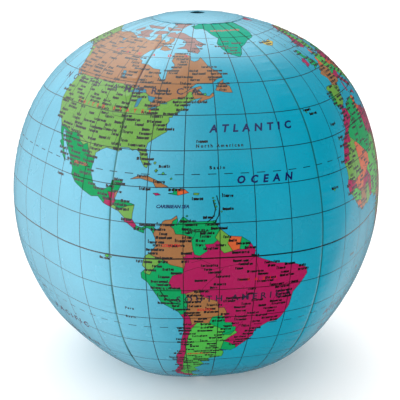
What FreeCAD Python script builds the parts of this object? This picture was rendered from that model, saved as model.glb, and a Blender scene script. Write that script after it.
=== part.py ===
"""Inflatable vinyl globe ball: six printed film gores welded into a ball, two pole caps, and the
inflation valve under the north cap. Millimetres, +Z up, origin on the floor under the ball's axis."""

import FreeCAD, Part

import math
import os

import Sketcher

V = FreeCAD.Vector

# Alias, value, what it is. Lengths are in mm and angles in degrees.
DIMENSIONS = [
    ("wall", 0.25, "vinyl film thickness"),
    ("equator_radius", 150.0, "ball radius at the equator, outside"),
    ("side_arc_radius", 176.0, "meridian radius either side of the equator"),
    ("side_arc_angle", 25.0, "normal angle where the side arc ends"),
    ("lower_shoulder_radius", 130.0, "meridian radius of the lower shoulder"),
    ("lower_shoulder_angle", 58.0, "normal angle where the lower shoulder ends"),
    ("foot_blend_radius", 74.0, "meridian radius down to the flat foot"),
    ("crown_radius", 174.0, "meridian radius around the north pole"),
    ("crown_angle", 62.0, "normal angle where the crown begins"),
    ("gore_angle", 60.0, "share of the full turn that one gore covers"),
    ("seam_allowance", 2.5, "depth of the welded edge inside the ball"),
    ("top_tip_radius", 18.0, "hole left by the gore tips at the north pole"),
    ("bottom_tip_radius", 6.0, "hole left by the gore tips at the south pole"),
    ("cap_radius", 36.0, "pole cap disc radius"),
    ("flange_radius", 17.0, "valve weld flange radius"),
    ("flange_thickness", 0.8, "valve weld flange thickness"),
    ("recess_radius", 6.0, "round recess that holds the collar and the plug head"),
    ("seat_depth", 5.2, "recess floor below the crown"),
    ("pocket_reach", 9.6, "far wall of the strap pocket from the axis"),
    ("pocket_width", 4.2, "width of the strap pocket"),
    ("socket_wall", 1.0, "wall round the recess and the guide"),
    ("socket_depth", 12.2, "socket's lower end below the crown"),
    ("guide_radius", 4.3, "bore that guides the stem"),
    ("stem_radius", 4.2, "stem tube outside radius"),
    ("stem_bore_radius", 2.8, "inflation bore radius"),
    ("collar_radius", 5.8, "stem collar radius"),
    ("collar_height", 1.8, "stem collar height"),
    ("stem_travel", 8.0, "how far the stem pops up"),
    ("stem_play", 0.1, "gap left between the bead and the guide when popped up"),
    ("bead_radius", 5.2, "retaining bead at the stem's lower end"),
    ("bead_height", 1.8, "retaining bead height"),
    ("head_radius", 5.4, "plug head radius"),
    ("head_thickness", 1.8, "plug head thickness"),
    ("shank_radius", 2.7, "plug shank radius"),
    ("shank_length", 7.0, "plug shank length below the head"),
    ("rim_chamfer", 0.5, "chamfer on the plug's rim and on its tip"),
    ("strap_width", 3.2, "tether width"),
    ("strap_thickness", 0.7, "tether thickness"),
    ("strap_reach", 9.0, "outside of the tether's loop from the axis"),
    ("strap_gap", 0.15, "clearance from the tether's upper end to the plug head"),
    ("flap_radius", 4.0, "check flap radius"),
    ("flap_thickness", 0.4, "check flap thickness"),
    ("flap_tab_width", 3.0, "width of the flap's living hinge"),
    ("flap_gap", 0.02, "clearance between the flap and the stem's end"),
]

# Alias, formula, what it is. Each follows from the driving dimensions above.
SIDE, LOW, HIGH = "side_arc_angle * 1deg", "lower_shoulder_angle * 1deg", "crown_angle * 1deg"
DERIVED = [
    (
        "upper_shoulder_radius",
        f"(equator_radius - side_arc_radius * (1 - cos({SIDE})) - crown_radius * cos({HIGH}))"
        f" / (cos({SIDE}) - cos({HIGH}))",
        "meridian radius that joins the side arc to a crown centred on the axis",
    ),
    (
        "foot_radius",
        f"equator_radius - side_arc_radius * (1 - cos({SIDE}))"
        f" - lower_shoulder_radius * (cos({SIDE}) - cos({LOW})) - foot_blend_radius * cos({LOW})",
        "radius of the flat the ball stands on",
    ),
    (
        "equator_height",
        f"wall + foot_blend_radius * (1 - sin({LOW}))"
        f" + lower_shoulder_radius * (sin({LOW}) - sin({SIDE})) + side_arc_radius * sin({SIDE})",
        "equator above the floor",
    ),
    (
        "crown_centre",
        f"equator_height + (upper_shoulder_radius - crown_radius) * sin({HIGH})"
        f" + (side_arc_radius - upper_shoulder_radius) * sin({SIDE})",
        "centre of the crown arc above the floor",
    ),
    ("crown_top", "crown_centre + crown_radius", "top of the gores' outer surface"),
    (
        "stem_length",
        "socket_depth - seat_depth + stem_travel + stem_play + bead_height",
        "stem tube below its collar",
    ),
    ("head_seat", "seat_depth - collar_height", "underside of the plug head below the crown"),
]

# Node name of each gore, and the angle of its middle meridian about +Z.
GORES = [
    ("panel_south_america", -90.0),
    ("panel_africa", -30.0),
    ("panel_india", 30.0),
    ("panel_east_asia", 90.0),
    ("panel_pacific", 150.0),
    ("panel_north_america", 210.0),
]

doc = FreeCAD.newDocument("inflatable_globe")


def make_sheet():
    """One row for each dimension: what it is, then its number or formula under its alias."""
    table = doc.addObject("Spreadsheet::Sheet", "dims")
    rows = [(name, str(value), meaning) for name, value, meaning in DIMENSIONS]
    rows += [(name, "=" + formula, meaning) for name, formula, meaning in DERIVED]
    for row, (name, content, meaning) in enumerate(rows, start=1):
        table.set(f"A{row}", meaning)
        table.set(f"B{row}", content)
        table.setAlias(f"B{row}", name)
    doc.recompute()
    return table


sheet = make_sheet()


def size(name):
    """The sheet's value under an alias."""
    return float(getattr(sheet, name))


def ref(text):
    """An expression in which @alias stands for the sheet's value."""
    return text.replace("@", "dims.")


def bind(feature, **expressions):
    """Binds properties of a feature to expressions written with @alias."""
    for name, text in expressions.items():
        feature.setExpression(name, ref(text))


def raise_to(feature, depth):
    """Puts a feature's base at a depth below the crown, given as an expression."""
    feature.setExpression("Placement.Base.z", ref(f"@crown_top - ({depth})"))


# The meridian's outer line: flat foot, foot blend, lower shoulder, side, upper shoulder and crown.


def meridian_arcs():
    """Centre, radius, start angle and end angle of the five outer arcs from the foot up."""
    side = math.radians(size("side_arc_angle"))
    low = math.radians(size("lower_shoulder_angle"))
    high = math.radians(size("crown_angle"))
    spans = [
        (size("foot_blend_radius"), -math.pi / 2, -low),
        (size("lower_shoulder_radius"), -low, -side),
        (size("side_arc_radius"), -side, side),
        (size("upper_shoulder_radius"), side, high),
        (size("crown_radius"), high, math.pi / 2),
    ]
    x, z = size("foot_radius"), size("wall")
    arcs = []
    for radius, start, end in spans:
        centre = V(x - radius * math.cos(start), z - radius * math.sin(start), 0)
        arcs.append((centre, radius, start, end))
        x, z = centre.x + radius * math.cos(end), centre.y + radius * math.sin(end)
    return arcs


ARCS = meridian_arcs()


def constrain(sketch, *parts, expression=None):
    """Adds one constraint, bound to the sheet where an expression is given."""
    index = sketch.addConstraint(Sketcher.Constraint(*parts))
    if expression:
        sketch.setExpression(f"Constraints[{index}]", ref(expression))


def add_arc(sketch, centre, radius, start, end):
    return sketch.addGeometry(Part.ArcOfCircle(Part.Circle(centre, V(0, 0, 1), radius), start, end))


def meridian_chain(sketch, inset, inset_text):
    """Adds the foot line and the five arcs, inset from the outer line. Returns the two end curves."""
    tip, foot_z = size("bottom_tip_radius"), size("wall") + inset
    foot = sketch.addGeometry(Part.LineSegment(V(tip, foot_z, 0), V(size("foot_radius"), foot_z, 0)))
    arcs = [add_arc(sketch, c, radius - inset, a, b) for c, radius, a, b in ARCS[:4]]
    centre, radius, start, _ = ARCS[4]
    tip_angle = math.acos(size("top_tip_radius") / (radius - inset))
    arcs.append(add_arc(sketch, centre, radius - inset, start, tip_angle))
    constrain(sketch, "Horizontal", foot)
    constrain(sketch, "Tangent", foot, 2, arcs[0], 1)
    for below, above in zip(arcs[:-1], arcs[1:]):
        constrain(sketch, "Tangent", below, 2, above, 1)
    names = ("foot_blend_radius", "lower_shoulder_radius", "side_arc_radius")
    for index, name in zip(arcs, names):
        constrain(sketch, "Radius", index, size(name) - inset, expression=f"@{name} - {inset_text}")
    constrain(sketch, "Radius", arcs[4], radius - inset, expression=f"@crown_radius - {inset_text}")
    sweeps = (
        "90 - @lower_shoulder_angle",
        "@lower_shoulder_angle - @side_arc_angle",
        "2 * @side_arc_angle",
        "@crown_angle - @side_arc_angle",
    )
    for index, text, (_, _, start, end) in zip(arcs, sweeps, ARCS):
        constrain(sketch, "Angle", index, end - start, expression=f"({text}) * 1deg")
    constrain(sketch, "PointOnObject", arcs[4], 3, -2)
    constrain(sketch, "DistanceY", -1, 1, foot, 1, foot_z, expression=f"@wall + {inset_text}")
    constrain(sketch, "DistanceX", -1, 1, foot, 1, tip, expression="@bottom_tip_radius")
    top = size("top_tip_radius")
    constrain(sketch, "DistanceX", -1, 1, arcs[4], 2, top, expression="@top_tip_radius")
    return (foot, 1), (arcs[4], 2)


def xz_plane(body):
    return next(f for f in body.Origin.OriginFeatures if f.Role == "XZ_Plane")


def section_sketch(body, name, outer, inner):
    """A closed section between two insets of the meridian. Each inset is a number and its expression."""
    sketch = body.newObject("Sketcher::SketchObject", name)
    sketch.AttachmentSupport = [(xz_plane(body), "")]
    sketch.MapMode = "FlatFace"
    outer_ends = meridian_chain(sketch, *outer)
    inner_ends = meridian_chain(sketch, *inner)
    for a, b in zip(outer_ends, inner_ends):
        edge = sketch.addGeometry(Part.LineSegment(sketch.getPoint(*a), sketch.getPoint(*b)))
        constrain(sketch, "Coincident", edge, 1, *a)
        constrain(sketch, "Coincident", edge, 2, *b)
    return sketch


def make_gore(name, middle):
    """One gore: its film, and the welded edge turned inside along each of its two sides."""
    body = doc.addObject("PartDesign::Body", name)
    wall, allowance = size("wall"), size("seam_allowance")
    section = section_sketch(body, name + "_section", (0.0, "0"), (wall, "@wall"))
    film = body.newObject("PartDesign::Revolution", name + "_film")
    film.Profile = section
    film.ReferenceAxis = (section, ["V_Axis"])
    film.Midplane = True
    bind(film, Angle="@gore_angle")
    weld_outer = (wall / 2, "@wall / 2")
    weld_inner = (wall + allowance, "(@wall + @seam_allowance)")
    edge = section_sketch(body, name + "_weld_section", weld_outer, weld_inner)
    turn = size("gore_angle") / 2
    edge.AttachmentOffset = FreeCAD.Placement(V(), FreeCAD.Rotation(V(0, 1, 0), turn))
    bind(edge, **{"AttachmentOffset.Rotation.Angle": "@gore_angle / 2"})
    weld = body.newObject("PartDesign::Pad", name + "_weld")
    weld.Profile = edge
    bind(weld, Length="@wall")
    doc.recompute()
    other = body.newObject("PartDesign::Mirrored", name + "_other_weld")
    other.Originals = [weld]
    other.MirrorPlane = (xz_plane(body), [""])
    body.Tip = other
    body.Placement = FreeCAD.Placement(V(), FreeCAD.Rotation(V(0, 0, 1), middle))
    return body


def cylinder(name, radius, bottom, height):
    """A cylinder on the axis with its base at a depth below the crown. Sizes are expressions."""
    made = doc.addObject("Part::Cylinder", name)
    bind(made, Radius=radius, Height=height)
    raise_to(made, bottom)
    return made


def box(name, reach, width, bottom, height):
    """A box from the axis out along +Y, with its base at a depth below the crown."""
    made = doc.addObject("Part::Box", name)
    bind(made, Length=width, Width=reach, Height=height)
    made.setExpression("Placement.Base.x", ref(f"-({width}) / 2"))
    raise_to(made, bottom)
    return made


def fuse(name, *shapes):
    made = doc.addObject("Part::MultiFuse", name)
    made.Shapes = list(shapes)
    made.Refine = True
    return made


def cut(name, base, tool):
    made = doc.addObject("Part::Cut", name)
    made.Base, made.Tool = base, tool
    made.Refine = True
    return made


def common(name, base, tool):
    made = doc.addObject("Part::Common", name)
    made.Base, made.Tool = base, tool
    return made


def crown_sphere(name, inset):
    """A sphere parallel to the crown's outer surface, an inset below it."""
    made = doc.addObject("Part::Sphere", name)
    bind(made, Radius=f"@crown_radius - ({inset})")
    made.setExpression("Placement.Base.z", ref("@crown_centre"))
    return made


def crown_dish(name, low_inset, high_inset, radius):
    """The round part of a crown shell between two insets."""
    shell = cut(
        name + "_shell",
        crown_sphere(name + "_outside", high_inset),
        crown_sphere(name + "_inside", low_inset),
    )
    return common(name + "_dish", shell, cylinder(name + "_edge", radius, "20", "40"))


def keyhole(name, growth, bottom, height):
    """The recess outline, grown by a wall: a round hole with the strap pocket towards +Y."""
    hole = cylinder(name + "_round", f"@recess_radius + {growth}", bottom, height)
    pocket = box(
        name + "_pocket", f"@pocket_reach + {growth}", f"@pocket_width + 2 * {growth}", bottom, height
    )
    return fuse(name, hole, pocket)


def make_north_cap():
    """The domed disc over the gore tips, open over the valve's recess."""
    dish = crown_dish("north_cap", "0", "-@wall", "@cap_radius")
    return cut("north_cap", dish, keyhole("north_cap_opening", "0", "@seat_depth", "2 * @seat_depth"))


def make_south_cap():
    """The flat disc over the gore tips that the ball stands on."""
    cap = doc.addObject("Part::Cylinder", "south_cap")
    bind(cap, Radius="@cap_radius", Height="@wall")
    return cap


def make_socket():
    """The valve's weld flange, with the recess below it and the bore that guides the stem."""
    flange = crown_dish("socket_flange", "@flange_thickness", "0", "@flange_radius")
    outline = keyhole(
        "socket_outline", "@socket_wall", "@seat_depth + @socket_wall", "@seat_depth + @socket_wall"
    )
    walls = common("socket_walls", outline, crown_sphere("socket_limit", "@flange_thickness / 2"))
    guide = cylinder(
        "socket_guide", "@guide_radius + @socket_wall", "@socket_depth", "@socket_depth - @seat_depth"
    )
    recess = keyhole("socket_recess", "0", "@seat_depth", "2 * @seat_depth")
    bore = cylinder("socket_bore", "@guide_radius", "@socket_depth + 1", "@socket_depth")
    return cut(
        "valve_socket", fuse("socket_solid", flange, walls, guide), fuse("socket_voids", recess, bore)
    )


def make_stem():
    """The stem: its collar on the recess floor, its guided tube, and the bead that retains it."""
    end = "@seat_depth + @stem_length"
    solid = fuse(
        "stem_solid",
        cylinder("stem_collar", "@collar_radius", "@seat_depth", "@collar_height"),
        cylinder("stem_tube", "@stem_radius", end, "@stem_length"),
        cylinder("stem_bead", "@bead_radius", end, "@bead_height"),
    )
    bore = cylinder("stem_bore", "@stem_bore_radius", f"{end} + 1", "@stem_length + @collar_height + 2")
    return cut("valve_stem", solid, bore)


def make_plug():
    """The plug: a head over the stem's collar and a shank in its bore, chamfered at both ends."""
    tip = "@head_seat + @shank_length"
    head = cylinder("plug_head", "@head_radius", "@head_seat", "@head_thickness")
    shank = cylinder("plug_shank", "@shank_radius", tip, "@shank_length + @head_thickness / 2")
    solid = fuse("plug_solid", head, shank)
    doc.recompute()
    low = size("crown_top") - size("head_seat") - size("shank_length")
    high = size("crown_top") - size("head_seat") + size("head_thickness")
    rims = []
    for number, edge in enumerate(solid.Shape.Edges, start=1):
        z = edge.BoundBox.ZMin
        flat = edge.BoundBox.ZLength < 1e-3
        if flat and min(abs(z - low), abs(z - high)) < 1e-3:
            rims.append((number, size("rim_chamfer"), size("rim_chamfer")))
    plug = doc.addObject("Part::Chamfer", "valve_plug")
    plug.Base = solid
    plug.Edges = rims
    return plug


def make_tether():
    """The tether: a strap folded back on itself, from the stem's collar up to the plug's head."""
    bottom = "@seat_depth - 0.3"
    rise = "(@collar_height + @head_thickness / 2)"
    strap = "@strap_thickness"
    loop = cut(
        "tether_loop",
        box("tether_outside", "@strap_reach", "@strap_width", bottom, rise),
        box("tether_inside", f"@strap_reach - {strap}", "@strap_width + 2",
            f"{bottom} - {strap}", f"{rise} - 2 * {strap}"),
    )
    relief = fuse(
        "tether_relief",
        cylinder("tether_collar", "@collar_radius", "@seat_depth", "@collar_height"),
        cylinder("tether_head", "@head_radius + @strap_gap", "@head_seat", "2 * @head_thickness"),
    )
    return cut("plug_tether", loop, relief)


def make_flap():
    """The check flap under the stem's end, with its living hinge at the -Y side."""
    bottom = "@seat_depth + @stem_length + @flap_gap + @flap_thickness"
    disc = cylinder("flap_disc", "@flap_radius", bottom, "@flap_thickness")
    tab = box("flap_tab", "@bead_radius", "@flap_tab_width", bottom, "@flap_thickness")
    bind(tab, **{"Placement.Base.y": "-@bead_radius"})
    return fuse("check_flap", disc, tab)


def check_and_export(parts):
    """Stops at any failed object or bad shape, then writes one STEP file for each sub-part."""
    doc.recompute()
    failed = [o.Name for o in doc.Objects if "Invalid" in o.State or "Error" in o.State]
    if failed:
        raise RuntimeError(f"failed objects: {failed}")
    for part in parts:
        shape = part.Shape
        if shape.isNull() or not shape.isValid() or len(shape.Solids) != 1:
            raise RuntimeError(f"bad shape: {part.Label}")
    os.makedirs("parts", exist_ok=True)
    for part in parts:
        part.Shape.exportStep(f"parts/{part.Label}.step")
        limits = part.Shape.BoundBox
        print(f"{part.Label}: {part.Shape.Volume:.1f} mm3, z {limits.ZMin:.2f} to {limits.ZMax:.2f}")


subparts = [make_gore(name, middle) for name, middle in GORES]
subparts += [make_north_cap(), make_south_cap()]
subparts += [make_socket(), make_stem(), make_plug(), make_tether(), make_flap()]
check_and_export(subparts)
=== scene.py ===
"""Inflatable vinyl world globe: printed gores, pole caps and the inflation valve, on a pale floor."""

import math
import random

import bpy
import numpy as np
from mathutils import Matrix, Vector
from mathutils.geometry import delaunay_2d_cdt


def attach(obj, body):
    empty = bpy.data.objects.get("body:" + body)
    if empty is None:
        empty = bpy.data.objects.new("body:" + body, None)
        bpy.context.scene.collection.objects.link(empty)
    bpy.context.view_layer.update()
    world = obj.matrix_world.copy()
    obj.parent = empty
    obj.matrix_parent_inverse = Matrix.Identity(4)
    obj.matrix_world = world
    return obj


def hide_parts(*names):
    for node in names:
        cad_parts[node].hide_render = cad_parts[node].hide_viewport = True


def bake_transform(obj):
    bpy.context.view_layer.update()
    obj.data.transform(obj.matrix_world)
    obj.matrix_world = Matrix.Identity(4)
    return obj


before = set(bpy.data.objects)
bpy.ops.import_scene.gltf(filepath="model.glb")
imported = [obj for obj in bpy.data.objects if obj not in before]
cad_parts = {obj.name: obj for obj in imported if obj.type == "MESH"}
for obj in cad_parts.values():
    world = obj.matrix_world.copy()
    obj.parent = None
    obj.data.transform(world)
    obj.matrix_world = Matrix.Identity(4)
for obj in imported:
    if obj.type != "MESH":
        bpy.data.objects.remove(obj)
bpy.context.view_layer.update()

MM = 0.001

# The ball's shape in millimetres, as in the CAD model.
WALL = 0.25
EQUATOR_RADIUS = 150.0
SIDE_ARC = 176.0
LOWER_SHOULDER = 130.0
FOOT_BLEND = 74.0
CROWN = 174.0
SIDE_ANGLE, LOWER_ANGLE, CROWN_ANGLE = (math.radians(a) for a in (25.0, 58.0, 62.0))
TOP_TIP, BOTTOM_TIP = 18.0, 6.0
SEAM_ALLOWANCE = 2.5
CAP_RADIUS = 36.0
RECESS_RADIUS, POCKET_REACH, POCKET_WIDTH = 6.0, 9.6, 4.2

# What the inflated film adds to that shape.
SEAM_CORNER = 0.020  # the section is slightly six-sided, with its corners at the seams
GROOVE_DEPTH, GROOVE_WIDTH = 0.4, 1.1
PUCKER_HEIGHT, PUCKER_PITCH, PUCKER_REACH = 0.3, 7.2, 8.0
SWELL_HEIGHT = 0.16

# The print. Its latitudes are spaced evenly along the film and end short of the poles.
NORTH_SPREAD, SOUTH_SPREAD = 0.955, 0.942
GORE_DEGREES = 60.0
FIRST_SEAM = 30.0
GORES = {
    "panel_south_america": -60.0,
    "panel_africa": 0.0,
    "panel_india": 60.0,
    "panel_east_asia": 120.0,
    "panel_pacific": 180.0,
    "panel_north_america": 240.0,
}

# The printed map. Outlines are longitude and latitude in degrees, written from general geography.
# Each land outline carries the tint of what isn't painted over it by a state in STATES.

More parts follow.
